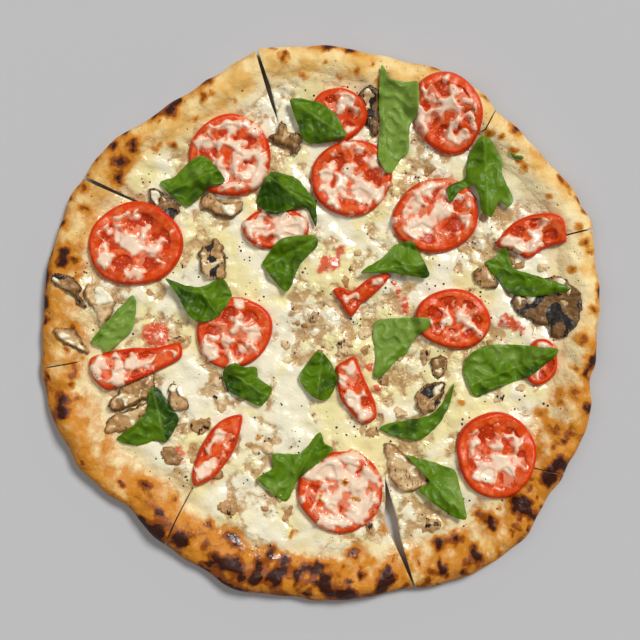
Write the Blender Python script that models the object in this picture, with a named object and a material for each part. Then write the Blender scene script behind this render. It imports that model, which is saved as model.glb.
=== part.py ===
"""A hand-stretched pizza cut into eight slices, under melted cheese, mushrooms, tomato and basil.

Every size and place is in millimetres, and MM turns it into Blender's metres. The origin is the
middle of the flat underside, +Z is up, and +Y is the far side of the pizza as it is looked down on.
Each piece is a solid slab: one flat mesh seen from above, with a lower and an upper height at each
point. The pieces are laid on in the order in which a cook lays them, and each one rests on what is
already there.
"""

import math

import bpy
import numpy as np
from mathutils import Vector
from mathutils.geometry import delaunay_2d_cdt

MM = 0.001

# Dough
BASE_THICKNESS = 5.0
RIM_HEIGHT = 15.0
RIM_UNEVENNESS = 1.8
RIM_WIDTH = 34.0
CREST_INSET = 11.0
EDGE_HEIGHT = 5.5
EDGE_LIP = 1.2
UNDERCUT = 6.0
EDGE_WOBBLE = 0.5
DEGREES_PER_COLUMN = 4.5
TIP_RADIUS = 2.5
RIM_ROWS = (0.0, 2.5, 7.0, 13.0, 20.0, 29.0, 40.0)
BASE_ROWS = (0.55, 0.0)

# Melted cheese
CHEESE_THICKNESS = 3.0
CHEESE_EDGE_THICKNESS = 1.0
CHEESE_SWELL = 1.0
CHEESE_COLUMNS_PER_SLICE = 10
CHEESE_ROWS = (0.0, 0.12, 0.24, 0.36, 0.47, 0.58, 0.68, 0.77, 0.85, 0.92, 0.97, 1.0)
BIT_HEIGHT = 2.4
BIT_DEPTH = 0.8
BIT_SIDES = 7

# Toppings
TOMATO_THICKNESS = 4.6
TOMATO_DISH = 1.2
MUSHROOM_THICKNESS = 3.6
LEAF_THICKNESS = 0.8
ROUND_TOMATO_POINTS = 14

# Clearance between neighbouring pieces, and the cell of the height map that keeps it
GAP = 0.35
CELL = 1.0
MAP_HALF_WIDTH = 200.0

# The point where the four straight cuts cross
HUB = (19.0, 0.6)

# The pizza's edge, clockwise from the cut at the top
OUTLINE = (
    (-39.4, 175), (-21, 175.5), (8, 176.8), (21.6, 173.7), (57.2, 165.2), (74.2, 163.6),
    (79.2, 158.9), (107.3, 144.5), (111, 135), (125, 125.3), (140.3, 107.4), (150.7, 96.5),
    (161, 87), (165.1, 76), (173.7, 65), (174.5, 40), (178.3, 24.8), (178.3, 14.4),
    (176.2, -6.9), (175.8, -25.6), (171.5, -34), (173.2, -53.7), (163.8, -81.9),
    (158.1, -88.9), (155.6, -96.5), (147.3, -107.6), (138.8, -121.9), (132.7, -134.6),
    (123.5, -143.3), (93.7, -161.2), (63.9, -169.2), (59, -167.5), (29.8, -174.3),
    (-0.6, -177.2), (-15.9, -173.9), (-58.4, -168.8), (-68.6, -160.3), (-99, -140.7),
    (-108.6, -134.8), (-119.5, -117.8), (-136.5, -108.5), (-157.8, -86.4), (-158.6, -80.4),
    (-168.9, -65.9), (-174.8, -41.7), (-178.2, -30.5), (-176.5, -16.3), (-175.6, 12.7),
    (-174.8, 27.9), (-163.8, 66.7), (-158.6, 81.5), (-149.7, 93.3), (-143.3, 104.4),
    (-123.8, 122.3), (-111.9, 127.4), (-78.7, 149.5), (-70.2, 156.7), (-63.5, 158),
    (-53.3, 167.3), (-42.2, 172.1),
)  # fmt: skip

# Each cut from the hub outwards, counterclockwise from the right: where it runs, how wide it
# gapes there, and the distance from the hub beyond which the cheese too is parted
CUTS = (
    (((60, 17, 0.8), (154.3, 55.2, 0.9), (176, 60.5, 1.2)), 143),
    (((57.8, 84.5, 0.8), (104.1, 121.9, 0.8), (113, 139, 1.0)), 150),
    (((8.3, 20.3, 0.8), (-27.3, 130.2, 1.4), (-33, 150, 3.0), (-42, 178, 1.4)), 134),
    (((-95.3, 67.3, 0.8), (-124.5, 80.6, 1.6), (-140, 87.5, 2.4), (-153, 93.8, 1.4)), 146),
    (((-106, -15.2, 0.8), (-156.8, -25.4, 0.8), (-182, -30, 0.9)), 172),
    (((-80.6, -104.1, 0.8), (-98.4, -141.6, 1.0), (-103, -150, 1.2)), 143),
    (((26.7, -23.5, 0.8), (36.2, -51.4, 0.9), (41.5, -100, 1.0), (43.5, -112, 3.5),
      (44.5, -124, 9), (49, -138, 5), (53.7, -150.5, 3), (58.4, -163.2, 1.4), (62, -174, 1.2)), 98),
    (((132.1, -90.8, 0.8), (156.2, -95.9, 0.9), (165, -97.7, 1.0)), 146),
)  # fmt: skip

# How far the cheese stops short of the edge of each slice, in the order of the cuts
CHEESE_MARGINS = (20, 18, 16, 20, 27, 22, 25, 22)

# Chopped mushroom sunk in the cheese: middle, length, width and turn in degrees
BITS = (
    (-44.5, 130, 11, 7, 30), (-86, 38.5, 8, 6, 70), (-90, -11, 9, 6, 10), (6.5, 14.5, 10, 7, 5),
    (-3, 4, 9, 7, 60), (16, 27, 9, 5, 110), (28.5, -6.5, 9, 8, 20), (29, -17, 8, 6, 80),
    (41, -36.5, 9, 7, 130), (51.5, -57, 11, 7, 160), (33, -70, 9, 7, 30), (-65, -38, 9, 7, 20),
    (-62, -53, 9, 7, 60), (-76, -65, 13, 11, 0), (-34, -80.5, 11, 7, 150), (-45, -77.5, 7, 5, 0),
    (-65.5, -96, 9, 7, 40), (-26, -110.5, 9, 7, 120), (-20.5, -121.5, 14, 6, 65),
    (114, -47.5, 9, 6, 45), (127, -41.5, 8, 6, 30), (126.5, 36.5, 9, 6, 20), (141.5, 35, 9, 7, 0),
    (66.5, -21.5, 11, 7, 100), (70, 97, 9, 6, 10), (-22, -14, 9, 6, 150), (71, -129.5, 12, 8, 20),
    (-95, -84, 15, 10, 145), (15, -16, 13, 11, 45), (-58.5, -117, 17, 9, -12),
)  # fmt: skip

# Whole tomato slices: middle, half length, half width and turn in degrees
ROUND_TOMATOES = (
    ("tomato_01", (-57, 106), 26, 26, 0),
    ("tomato_02", (-117, 50), 30, 26.5, 8),
    ("tomato_03", (11.5, 132), 18, 17, 0),
    ("tomato_04", (20, 92), 26, 24, 20),
    ("tomato_05", (80.5, 133), 26.5, 21, 110),
    ("tomato_06", (73.5, 68), 27.5, 23.5, 15),
    ("tomato_07", (-28, 60), 21, 13.5, 0),
    ("tomato_08", (84.5, 2.5), 24, 19, -8),
    ("tomato_09", (-54.5, -6), 24.5, 22, 25),
    ("tomato_10", (111.5, -83.5), 27.5, 25, 95),
    ("tomato_11", (13, -107), 27, 26, 0),
    ("tomato_12", (140, -25), 15, 10.5, 80),
)

# Tomato slices that the cutter or a fold has left in another shape: the outline
SHAPED_TOMATOES = (
    ("tomato_13", ((112, 49), (116.6, 57.4), (125, 65), (136, 69), (147, 69), (153.3, 64.7),
                   (155.5, 54), (154.8, 50.8), (142, 47), (135, 42), (130, 41), (124, 45))),
    ("tomato_14", ((-146.5, -26.6), (-144.8, -21.8), (-133.7, -18.3), (-119, -15.8), (-105, -15.8),
                   (-90, -12.5), (-87.3, -17.6), (-89, -23.1), (-102, -30), (-116, -36.2),
                   (-129.6, -41.7), (-136.5, -42.4), (-143.4, -36.2))),
    ("tomato_15", ((8.2, 20.7), (13.5, 22.7), (20, 20.3), (31.3, 28.4), (43.5, 31.2), (42, 26),
                   (31.3, 15.4), (26.5, 12.2), (19.5, 4.1), (11.9, 14.6))),
    ("tomato_16", ((22.4, -21.8), (26.5, -31.6), (31.3, -42.1), (35.4, -51.8), (35, -60.7),
                   (26.5, -63.6), (16.7, -53.4), (12.2, -46), (10.2, -28.3), (15.1, -24.3))),
    ("tomato_17", ((-79, -103.5), (-81, -95.2), (-76, -79.4), (-67, -65.6), (-59, -60), (-50, -58.4),
                   (-50, -66), (-53.4, -78), (-59, -88.3), (-68.6, -98.7))),
)  # fmt: skip

# Mushroom slices: the outline
MUSHROOMS = (
    ("mushroom_01", ((122.3, 10.7), (125, 20), (137, 26.5), (151.8, 30), (159, 24), (164, 19.2),
                     (165.2, 11.3), (162.7, 1), (158.5, -5), (154.2, -9.4), (147, -8.8),
                     (145, -2.7), (136, 0), (128.7, 4.6))),
    ("mushroom_02", ((-169.5, 29.2), (-164, 31.3), (-157, 29.5), (-151.6, 24), (-152, 18),
                     (-149, 10), (-152, 10.5), (-157, 18.9), (-164, 21.6))),
    ("mushroom_03", ((-149.4, 20.2), (-147.5, 24.4), (-142, 25), (-133.7, 21), (-130, 14),
                     (-131, 7.8), (-136.5, -0.4), (-140.6, -1.8), (-141, 6), (-146.5, 12.7))),
    ("mushroom_04", ((-168.2, -4.5), (-162.7, -3.2), (-155, -4.5), (-150.3, -12), (-146.8, -17.6),
                     (-148.2, -19.4), (-157, -15), (-164, -10.7))),
    ("mushroom_05", ((-135, -52), (-129.6, -45.2), (-117.2, -36.2), (-107.6, -32), (-104.8, -40.4),
                     (-105.5, -44.5), (-116, -51), (-128.2, -56), (-133, -55.8))),
    ("mushroom_06", ((-136.6, -67.6), (-133.2, -60), (-119.6, -54), (-107.7, -49.8), (-111, -57.4),
                     (-121.3, -67.6), (-133.2, -69.3))),
    ("mushroom_07", ((-95.2, -39.7), (-91, -39), (-89, -45.2), (-83.5, -50), (-83.5, -53.4),
                     (-89.7, -55.5), (-95.2, -53.4))),
    ("mushroom_08", ((-76.2, 45.8), (-67, 53), (-61.7, 48.4), (-59.2, 36.5), (-61.7, 28),
                     (-73.6, 28.8), (-76.2, 37.3))),
    ("mushroom_09", ((-75.4, 79.5), (-71, 82.8), (-60, 76.3), (-50, 78.2), (-48.8, 73),
                     (-55.3, 66.6), (-63, 67.2), (-74.8, 74.3))),
    ("mushroom_10", ((-109, 83.4), (-103.3, 85.4), (-98, 80.8), (-90.3, 76.3), (-89.7, 69.8),
                     (-96.8, 66), (-104.6, 73))),
    ("mushroom_11", ((-32.2, 118.5), (-28, 121.5), (-24.3, 128.2), (-19.5, 121.5), (-13.4, 120.3),
                     (-12.2, 113), (-14.6, 107), (-23, 113.5), (-28.6, 113.6))),
    ("mushroom_12", ((61.4, -49), (64, -41.2), (73.3, -37.7), (79.5, -38), (78, -46), (73.3, -55),
                     (64.8, -58))),
    ("mushroom_13", ((70.2, -23.5), (74.8, -20.4), (80.2, -21.2), (81, -27.3), (77, -34.3),
                     (71.8, -32))),
    ("mushroom_14", ((97.7, 31.3), (101.4, 36.2), (106.2, 35.6), (110, 29.5), (113.5, 25.2),
                     (111.7, 21.6), (103.2, 23), (99, 26))),
    ("mushroom_15", ((24.3, 144), (30.3, 150), (37, 146.4), (37.6, 130), (35.8, 118), (31, 125),
                     (28, 136.7))),
    ("mushroom_16", ((41.2, -77.6), (47, -76.8), (54, -84), (66.3, -92.2), (68, -102), (61.4, -106),
                     (51.7, -106.8), (45.2, -98.7), (43.6, -89.8))),
)  # fmt: skip

# Basil leaves: where the midrib starts and ends, how far the edges rise above it (or fall below
# it, where the number is negative), and the outline
LEAVES = (
    ("basil_01", (-98, 83), (-64, 97), 2, (
        (-101.3, 89), (-92.3, 93), (-83.8, 101), (-72.8, 105.4), (-60, 90), (-71.5, 84.7),
        (-83.8, 74.3), (-94.2, 80.8))),
    ("basil_02", (-18, 141), (16, 118), -3, (
        (-19.2, 140), (-17, 141.8), (-8.6, 141.2), (0.6, 138.5), (9.7, 131.8), (16.4, 117.5),
        (7.2, 114.5), (-4.3, 113.6), (-9.8, 115.4), (-12.8, 121.5))),
    ("basil_03", (39, 161), (43, 96), 3, (
        (38.7, 161.9), (44, 154), (53.6, 152.2), (61.5, 151.6), (61.5, 133.4), (56.7, 123),
        (56, 108.5), (51.8, 104.8), (45.4, 94.8), (41.5, 95), (36.6, 104.8), (38.4, 126.7),
        (37.2, 140.7))),
    ("basil_04", (-32, 92), (-5, 75), -2, (
        (-32, 94.8), (-23, 94.5), (-14.6, 91.7), (-8.6, 84.4), (-3, 76.5), (-2.5, 61),
        (-9.8, 73.5), (-26.8, 68.6), (-33, 69.3), (-40, 76), (-39.5, 80.8))),
    ("basil_05", (-34, 36), (-3, 53), 2, (
        (-36.3, 38.2), (-26, 51.8), (-16, 54.8), (-5.7, 55.6), (-1.9, 54.3), (-1.9, 48.4),
        (-12.5, 37.3), (-19.3, 21.2), (-23.5, 20.7), (-33.7, 33))),
    ("basil_06", (27, 32), (66, 38), -3.5, (
        (25.6, 31.6), (39.4, 41.4), (47.5, 49.5), (57.2, 51.5), (63.7, 43), (69, 30.8),
        (65.3, 28.4), (43.5, 32))),
    ("basil_07", (-76, 23), (-64, 4), 3, (
        (-97, 28), (-86.4, 24.2), (-75.3, 23), (-64.3, 27.6), (-60, 27), (-55.8, 17), (-64.3, 4.2),
        (-74.5, 0.3), (-82.2, 4.2), (-89.8, 17))),
    ("basil_08", (-118, 16), (-141, -14), 1, (
        (-145, -10.7), (-136.5, -0.4), (-119.3, 17.5), (-116.5, 14), (-117.2, 2.3), (-120, -6),
        (-135, -18.7), (-138.6, -15.6), (-143.4, -14.2))),
    ("basil_09", (103.5, 117.5), (106, 68), -3, (
        (103.7, 117.8), (110, 112), (115.6, 101.8), (115, 94), (122.3, 79.3), (119.2, 73.2),
        (113.5, 77), (108.3, 67), (101.6, 72), (100.4, 79.3), (96.8, 87), (88, 83), (82.2, 75.7),
        (80.7, 86), (91.6, 91.4), (92.5, 100), (98.6, 114.5))),
    ("basil_10", (107, 38), (157, 22), 3, (
        (105, 37.4), (110.5, 41.7), (116.6, 48), (119.6, 44), (123.3, 34.4), (137.2, 30),
        (158, 21.6), (141, 17.4), (131.2, 16.7), (122, 18.3), (116.6, 23.4))),
    ("basil_11", (93, -40), (150, -18), 4, (
        (91, -29), (95.6, -19), (106.4, -14), (119.5, -13.5), (138, -15), (151, -17.7),
        (134, -32.7), (122.5, -37.3), (107, -43.5), (100.2, -47), (95.6, -43.5))),
    ("basil_12", (36, -30), (67, 2), -1.5, (
        (34, -0.4), (46, 2.9), (67.8, 3.3), (68.2, -3.2), (60.5, -9), (54.8, -19.4), (47.5, -25),
        (38.6, -34.4), (34, -33.6), (35.4, -24.3))),
    ("basil_13", (-2, -48), (1.3, -20), -1.5, (
        (-1.5, -17.8), (5.4, -22.7), (11, -35.6), (5.8, -47.4), (-1.9, -48.2), (-10, -41.3),
        (-13, -33.6), (-7.6, -25))),
    ("basil_14", (-60, -30), (-33, -46), 1.5, (
        (-61.4, -30.3), (-54, -25.2), (-48.2, -27.7), (-40.5, -28), (-38.8, -35), (-30.3, -41.7),
        (-37, -52.4), (-46.5, -49), (-58.4, -42.6))),
    ("basil_15", (-23, -111), (0, -72), 2.5, (
        (-39.3, -99), (-29.5, -91.4), (-30, -83), (-12.5, -82.5), (-0.6, -69.3), (2.8, -76),
        (8, -80.8), (-12.5, -97.4), (-20, -111.8), (-25.2, -111.8))),
    ("basil_16", (40, -68), (84, -39), 1.5, (
        (37.5, -67.3), (44, -63.5), (68, -59), (78, -50.4), (84.8, -37.7), (82.5, -50.4),
        (76.4, -62.7), (68, -71.2), (62.5, -74), (51, -73))),
    ("basil_17", (58, -86), (90, -120), -3, (
        (55, -84), (63, -85.3), (79.3, -90.6), (85, -93), (88.2, -102), (92.6, -122.6),
        (86.5, -123.4), (74.4, -115.7), (62.2, -105.2), (69.5, -100.3))),
    ("basil_18", (-97.5, -75.5), (-106, -42), -2, (
        (-129.3, -73.6), (-118, -65), (-110.2, -55.7), (-107.7, -42), (-102.6, -41.3),
        (-94, -54), (-89.4, -61.7), (-97.5, -75.7), (-102.6, -74), (-117, -77.8))),
)  # fmt: skip

COLOURS = {
    "dough": ((0.80, 0.60, 0.33, 1), 0.75),
    "cheese": ((0.90, 0.84, 0.62, 1), 0.35),
    "tomato": ((0.70, 0.08, 0.02, 1), 0.3),
    "mushroom": ((0.50, 0.34, 0.19, 1), 0.5),
    "basil": ((0.10, 0.30, 0.02, 1), 0.45),
}


def clear_scene():
    """Removes whatever the scene held before."""
    for obj in list(bpy.data.objects):
        bpy.data.objects.remove(obj)


def smooth_step(value, low, high):
    """0 below low, 1 above high, and a smooth rise between them."""
    share = np.clip((value - low) / (high - low), 0, 1)
    return share * share * (3 - 2 * share)


def swell(x, y, wavelength, seed, waves=7):
    """A smooth random relief between about -1 and 1, made of crossing waves."""
    draw = np.random.default_rng(seed)
    total = np.zeros_like(np.asarray(x, float))
    for _ in range(waves):
        turn, phase = draw.uniform(0, 2 * math.pi, 2)
        length = wavelength * draw.uniform(0.7, 1.4)
        along = x * math.cos(turn) + y * math.sin(turn)
        total = total + np.sin(2 * math.pi * along / length + phase)
    return total / math.sqrt(waves)


# The edge of the pizza as a distance from the hub in each direction

OUTLINE_STEPS = 720
EDGE_BLUR_STEPS = 3


def edge_table():
    """Directions from the hub, and the distance to the edge in each of them."""
    points = np.array(OUTLINE) - HUB
    angles = np.linspace(-math.pi, math.pi, OUTLINE_STEPS, endpoint=False)
    own = np.arctan2(points[:, 1], points[:, 0])
    reach = np.interp(angles, *sorted_pairs(own, np.hypot(*points.T)), period=2 * math.pi)
    shifts = range(-EDGE_BLUR_STEPS, EDGE_BLUR_STEPS + 1)
    reach = np.mean([np.roll(reach, shift) for shift in shifts], axis=0)
    return angles, reach + EDGE_WOBBLE * np.sin(angles * 41) * np.sin(angles * 13 + 1)


def sorted_pairs(keys, values):
    """Both lists, in the order of the keys."""
    order = np.argsort(keys)
    return keys[order], values[order]


EDGE_ANGLES, EDGE_REACH = edge_table()


def edge_radius(angle):
    """Distance from the hub to the pizza's edge in this direction."""
    return np.interp(angle, EDGE_ANGLES, EDGE_REACH, period=2 * math.pi)


def inset_of(x, y):
    """How far inside the pizza's edge each point lies, measured towards the hub."""
    dx, dy = x - HUB[0], y - HUB[1]
    return edge_radius(np.arctan2(dy, dx)) - np.hypot(dx, dy)


def dough_top(x, y):
    """Height of the baked dough: a flat base that swells into an uneven, rounded rim."""
    inset = np.clip(inset_of(x, y), 0, None)
    crest = RIM_HEIGHT + RIM_UNEVENNESS * swell(x, y, 55, seed=3)
    outer = np.sqrt(np.clip(1 - ((CREST_INSET - inset) / CREST_INSET) ** 2, 0, 1))
    outside = EDGE_HEIGHT + (crest - EDGE_HEIGHT) * outer
    inside = crest + (BASE_THICKNESS - crest) * smooth_step(inset, CREST_INSET, RIM_WIDTH)
    return np.where(inset < CREST_INSET, outside, inside)


def dough_bottom(x, y):
    """The underside: flat on the table, and lifting off it just inside the edge."""
    lift = np.clip(1 - inset_of(x, y) / UNDERCUT, 0, 1)
    return (EDGE_HEIGHT - EDGE_LIP) * lift**2


# The cuts


def cut_side(index, radius, side, parted_from=0.0):
    """Direction of one side of a cut at this distance from the hub: side -1 is clockwise of it."""
    points = np.array(CUTS[index % len(CUTS)][0], float)
    offsets = points[:, :2] - HUB
    reach = np.hypot(*offsets.T)
    turns = np.unwrap(np.arctan2(offsets[:, 1], offsets[:, 0])) % (2 * math.pi)
    gape = np.interp(radius, reach, points[:, 2]) * smooth_step(radius, parted_from - 1, parted_from + 12)
    turn = np.interp(radius, reach, turns) + (2 * math.pi if index >= len(CUTS) else 0)
    return turn + side * gape / 2 / np.maximum(radius, TIP_RADIUS)


def slice_points(index, share, reach_of, parted=(0.0, 0.0)):
    """x and y at these shares of a slice's width; reach_of turns directions into distances."""
    radius = np.full_like(share, 150.0)
    for _ in range(4):
        low = cut_side(index, radius, 1, parted[0])
        high = cut_side(index + 1, radius, -1, parted[1])
        angle = low + (high - low) * share
        radius = reach_of(angle)
    return HUB[0] + radius * np.cos(angle), HUB[1] + radius * np.sin(angle)


def grid_faces(rows, columns):
    """Triangles of a grid of points, counterclockwise from above where rows run inwards."""
    faces = []
    for row in range(rows - 1):
        for column in range(columns - 1):
            a = row * columns + column
            b, c, d = a + 1, a + columns + 1, a + columns
            faces += [(a, b, c), (a, c, d)]
    return faces


def slab_mesh(name, points, faces, bottom, top):
    """A closed mesh between two heights over one flat mesh of triangles."""
    count = len(points)
    lower = np.column_stack([points, bottom])
    upper = np.column_stack([points, top])
    sides = {}
    for face in faces:
        for a, b in zip(face, face[1:] + face[:1]):
            sides[(a, b)] = sides.get((a, b), 0) + 1
    rim = [(a, b) for a, b in sides if (b, a) not in sides]
    solid = [tuple(i + count for i in face) for face in faces]
    solid += [tuple(reversed(face)) for face in faces]
    for a, b in rim:
        solid += [(a, b, b + count), (a, b + count, a + count)]
    mesh = bpy.data.meshes.new(name)
    mesh.from_pydata((np.vstack([lower, upper]) * MM).tolist(), [], solid)
    mesh.update()
    return mesh


def material(kind):
    """The plain finish of one kind of food, made once."""
    found = bpy.data.materials.get(kind)
    if found:
        return found
    colour, roughness = COLOURS[kind]
    made = bpy.data.materials.new(kind)
    made.use_nodes = True
    shader = made.node_tree.nodes["Principled BSDF"]
    shader.inputs["Base Color"].default_value = colour
    shader.inputs["Roughness"].default_value = roughness
    return made


def add_object(name, mesh, kind):
    """Links a mesh into the scene, smooth where it is round."""
    mesh.materials.append(material(kind))
    mesh.shade_smooth()
    mesh.set_sharp_from_angle(angle=math.radians(50))
    obj = bpy.data.objects.new(name, mesh)
    bpy.context.scene.collection.objects.link(obj)
    return obj


class HeightMap:
    """The height of what is already laid, in square cells, so that the next piece rests on it."""

    def __init__(self):
        self.side = int(2 * MAP_HALF_WIDTH / CELL) + 1
        self.cells = np.zeros((self.side, self.side))

    def index(self, values):
        return np.clip(np.floor((values + MAP_HALF_WIDTH) / CELL).astype(int), 0, self.side - 2)

    def stamp(self, mesh):
        """Raises every cell that the upward faces of a mesh pass over to their height."""
        points = np.array([v.co for v in mesh.vertices]) / MM
        mesh.calc_loop_triangles()
        upward = [tuple(t.vertices) for t in mesh.loop_triangles if t.normal.z > 0]
        corners, shares = spots_on(points, upward, CELL / 2)
        x, y, z = (shares[:, :, None] * points[corners]).sum(axis=1).T
        column, row = self.index(x - CELL / 2), self.index(y - CELL / 2)
        for i in (0, 1):
            for j in (0, 1):
                np.maximum.at(self.cells, (row + i, column + j), z)

    def at(self, x, y):
        """The highest of the cells round each point."""
        column, row = self.index(x - CELL / 2), self.index(y - CELL / 2)
        near = [self.cells[row + i, column + j] for i in (0, 1) for j in (0, 1)]
        return np.max(near, axis=0)


def spots_on(points, faces, spacing):
    """Evenly spaced spots on triangles: the three corners of each spot, and its share of them."""
    faces = np.array(faces)
    flat = points[faces][:, :, :2]
    longest = np.linalg.norm(flat - np.roll(flat, 1, axis=1), axis=2).max(axis=1)
    steps = np.maximum(1, np.ceil(longest / spacing)).astype(int)
    corners, shares = [], []
    for count in np.unique(steps):
        own = faces[steps == count]
        spots = [(i, j, count - i - j) for i in range(count + 1) for j in range(count + 1 - i)]
        corners.append(np.repeat(own, len(spots), axis=0))
        shares.append(np.tile(np.array(spots, float) / count, (len(own), 1)))
    return np.vstack(corners), np.vstack(shares)


def settle(points, faces, start, support, rounds=300):
    """Heights of a sheet let down onto what lies below it: raised from start only as far as each
    of its faces has to be to stay clear."""
    height = np.array(start, float)
    corners, shares = spots_on(points, faces, CELL)
    x, y = (shares[:, :, None] * points[corners]).sum(axis=1).T
    floor = support.at(x, y) + GAP
    weight = (shares**2).sum(axis=1)
    for _ in range(rounds):
        lack = floor - (shares * height[corners]).sum(axis=1)
        short = lack > 0
        if not short.any():
            break
        push = ((lack[short] + 0.01) / weight[short])[:, None] * shares[short]
        lift = np.zeros_like(height)
        np.maximum.at(lift, corners[short], push)
        height += lift
    return height


def inside(outline, x, y):
    """Whether each point lies inside a closed outline."""
    odd = np.zeros(np.shape(x), bool)
    for (ax, ay), (bx, by) in zip(outline, np.roll(outline, 1, axis=0)):
        crosses = (ay > y) != (by > y)
        with np.errstate(divide="ignore", invalid="ignore"):
            odd ^= crosses & (x < (bx - ax) * (y - ay) / (by - ay) + ax)
    return odd


def distance_to(outline, x, y):
    """Distance from each point to the nearest side of a closed outline."""
    best = np.full(np.shape(x), np.inf)
    for a, b in zip(outline, np.roll(outline, 1, axis=0)):
        side = b - a
        share = ((x - a[0]) * side[0] + (y - a[1]) * side[1]) / (side @ side)
        share = np.clip(share, 0, 1)
        best = np.minimum(best, np.hypot(x - a[0] - share * side[0], y - a[1] - share * side[1]))
    return best


def sheet_within(outline, spacing):
    """A flat mesh that fills an outline: its own points, and others spaced evenly inside."""
    outline = np.array(outline, float)
    area = sum(a[0] * b[1] - b[0] * a[1] for a, b in zip(outline, np.roll(outline, -1, axis=0)))
    if area < 0:
        outline = outline[::-1]
    low, high = outline.min(axis=0), outline.max(axis=0)
    middle = (low + high) / 2
    across, up = int((high[0] - low[0]) / spacing) + 2, int((high[1] - low[1]) / spacing) + 3
    spots = [
        (middle[0] + (i + (j % 2) / 2) * spacing, middle[1] + j * spacing * math.sqrt(0.75))
        for j in range(-up, up + 1)
        for i in range(-across, across + 1)
    ]
    x, y = np.array(spots).T
    kept = inside(outline, x, y) & (distance_to(outline, x, y) > spacing * 0.42)
    points = [Vector(p) for p in outline] + [Vector(p) for p in np.column_stack([x, y])[kept]]
    edges = [(i, (i + 1) % len(outline)) for i in range(len(outline))]
    found, _, faces, *_ = delaunay_2d_cdt(points, edges, [], 1, 1e-6)
    return np.array(found), [tuple(face) for face in faces]


def oval(middle, half_length, half_width, turn, count, seed):
    """A slightly uneven oval, as a closed outline."""
    draw = np.random.default_rng(seed)
    turns = np.linspace(0, 2 * math.pi, count, endpoint=False)
    uneven = 1 + 0.025 * np.sin(3 * turns + draw.uniform(0, 6)) + draw.uniform(-0.01, 0.01, count)
    x, y = half_length * np.cos(turns) * uneven, half_width * np.sin(turns) * uneven
    turn = math.radians(turn)
    return np.column_stack([
        middle[0] + x * math.cos(turn) - y * math.sin(turn),
        middle[1] + x * math.sin(turn) + y * math.cos(turn),
    ])  # fmt: skip


# The pieces


def build_crust(index, support):
    """One slice of dough, between two neighbouring cuts."""
    middle = np.array([150.0])
    width = cut_side(index + 1, middle, -1) - cut_side(index, middle, 1)
    columns = int(round(math.degrees(width[0]) / DEGREES_PER_COLUMN)) + 1
    share = np.linspace(0, 1, columns)
    reaches = [lambda angle, inset=inset: edge_radius(angle) - inset for inset in RIM_ROWS]
    reaches += [
        lambda angle, part=part: TIP_RADIUS + part * (edge_radius(angle) - RIM_ROWS[-1] - TIP_RADIUS)
        for part in BASE_ROWS
    ]
    rows = [np.column_stack(slice_points(index, share, reach)) for reach in reaches]
    points = np.vstack(rows)
    x, y = points.T
    faces = grid_faces(len(rows), columns)
    mesh = slab_mesh(f"crust_{index + 1}", points, faces, dough_bottom(x, y), dough_top(x, y))
    support.stamp(mesh)
    return add_object(mesh.name, mesh, "dough")


def cheese_reach(angle):
    """Distance from the hub to the edge of the cheese."""
    middles = []
    for index in range(len(CUTS)):
        low, high = (cut_side(index + i, np.array([150.0]), 0)[0] for i in (0, 1))
        middles.append((low + high) / 2 % (2 * math.pi))
    order = np.argsort(middles)
    margin = np.interp(
        angle % (2 * math.pi),
        np.array(middles)[order],
        np.array(CHEESE_MARGINS, float)[order],
        period=2 * math.pi,
    )
    return edge_radius(angle) - margin - 2.5 * np.sin(angle * 17) * np.sin(angle * 7 + 2)


def cheese_sheet():
    """The cheese seen from above: one sheet, slit where the cuts still gape."""
    share = np.linspace(0, 1, CHEESE_COLUMNS_PER_SLICE + 1)
    points, faces = [], []
    for index in range(len(CUTS)):
        parted = CUTS[index][1], CUTS[(index + 1) % len(CUTS)][1]
        first = sum(len(p) for p in points)
        for part in reversed(CHEESE_ROWS):
            x, y = slice_points(index, share, lambda angle: part * cheese_reach(angle), parted)
            points.append(np.column_stack([x, y]))
        grid = grid_faces(len(CHEESE_ROWS), len(share))
        faces += [tuple(first + i for i in face) for face in grid]
    points = np.vstack(points)
    _, kept, same = np.unique(np.round(points, 3), axis=0, return_index=True, return_inverse=True)
    joined = [tuple(int(i) for i in same.reshape(-1)[list(face)]) for face in faces]
    return points[kept], [face for face in joined if len(set(face)) == 3]


def cheese_thickness(x, y):
    """Melted cheese lies in pools and thins out towards its edge."""
    dx, dy = x - HUB[0], y - HUB[1]
    short = cheese_reach(np.arctan2(dy, dx)) - np.hypot(dx, dy)
    full = CHEESE_THICKNESS + CHEESE_SWELL * (0.7 * swell(x, y, 42, seed=11) + 0.5 * swell(x, y, 20, seed=12))
    return CHEESE_EDGE_THICKNESS + (full - CHEESE_EDGE_THICKNESS) * smooth_step(short, -1, 12)


def bit_mesh(name, spot, height):
    """A chopped piece of mushroom: a low faceted mound that stands on a shallow point."""
    x, y, length, width, turn = spot
    sides = oval((x, y), length / 2, width / 2, turn, BIT_SIDES, seed=int(abs(x * 7 + y)))
    middle = np.array([x, y])
    inner = middle + (sides - middle) * 0.6
    points = [(*p, height + 0.4) for p in sides] + [(*p, height + BIT_HEIGHT) for p in inner]
    points += [(x, y, height - BIT_DEPTH), (x, y, height + BIT_HEIGHT + 0.2)]
    faces = []
    for i in range(BIT_SIDES):
        j = (i + 1) % BIT_SIDES
        faces += [(i, j, j + BIT_SIDES), (i, j + BIT_SIDES, i + BIT_SIDES)]
        faces += [(j, i, 2 * BIT_SIDES), (i + BIT_SIDES, j + BIT_SIDES, 2 * BIT_SIDES + 1)]
    mesh = bpy.data.meshes.new(name)
    mesh.from_pydata([tuple(c * MM for c in p) for p in points], [], faces)
    return mesh


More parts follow.
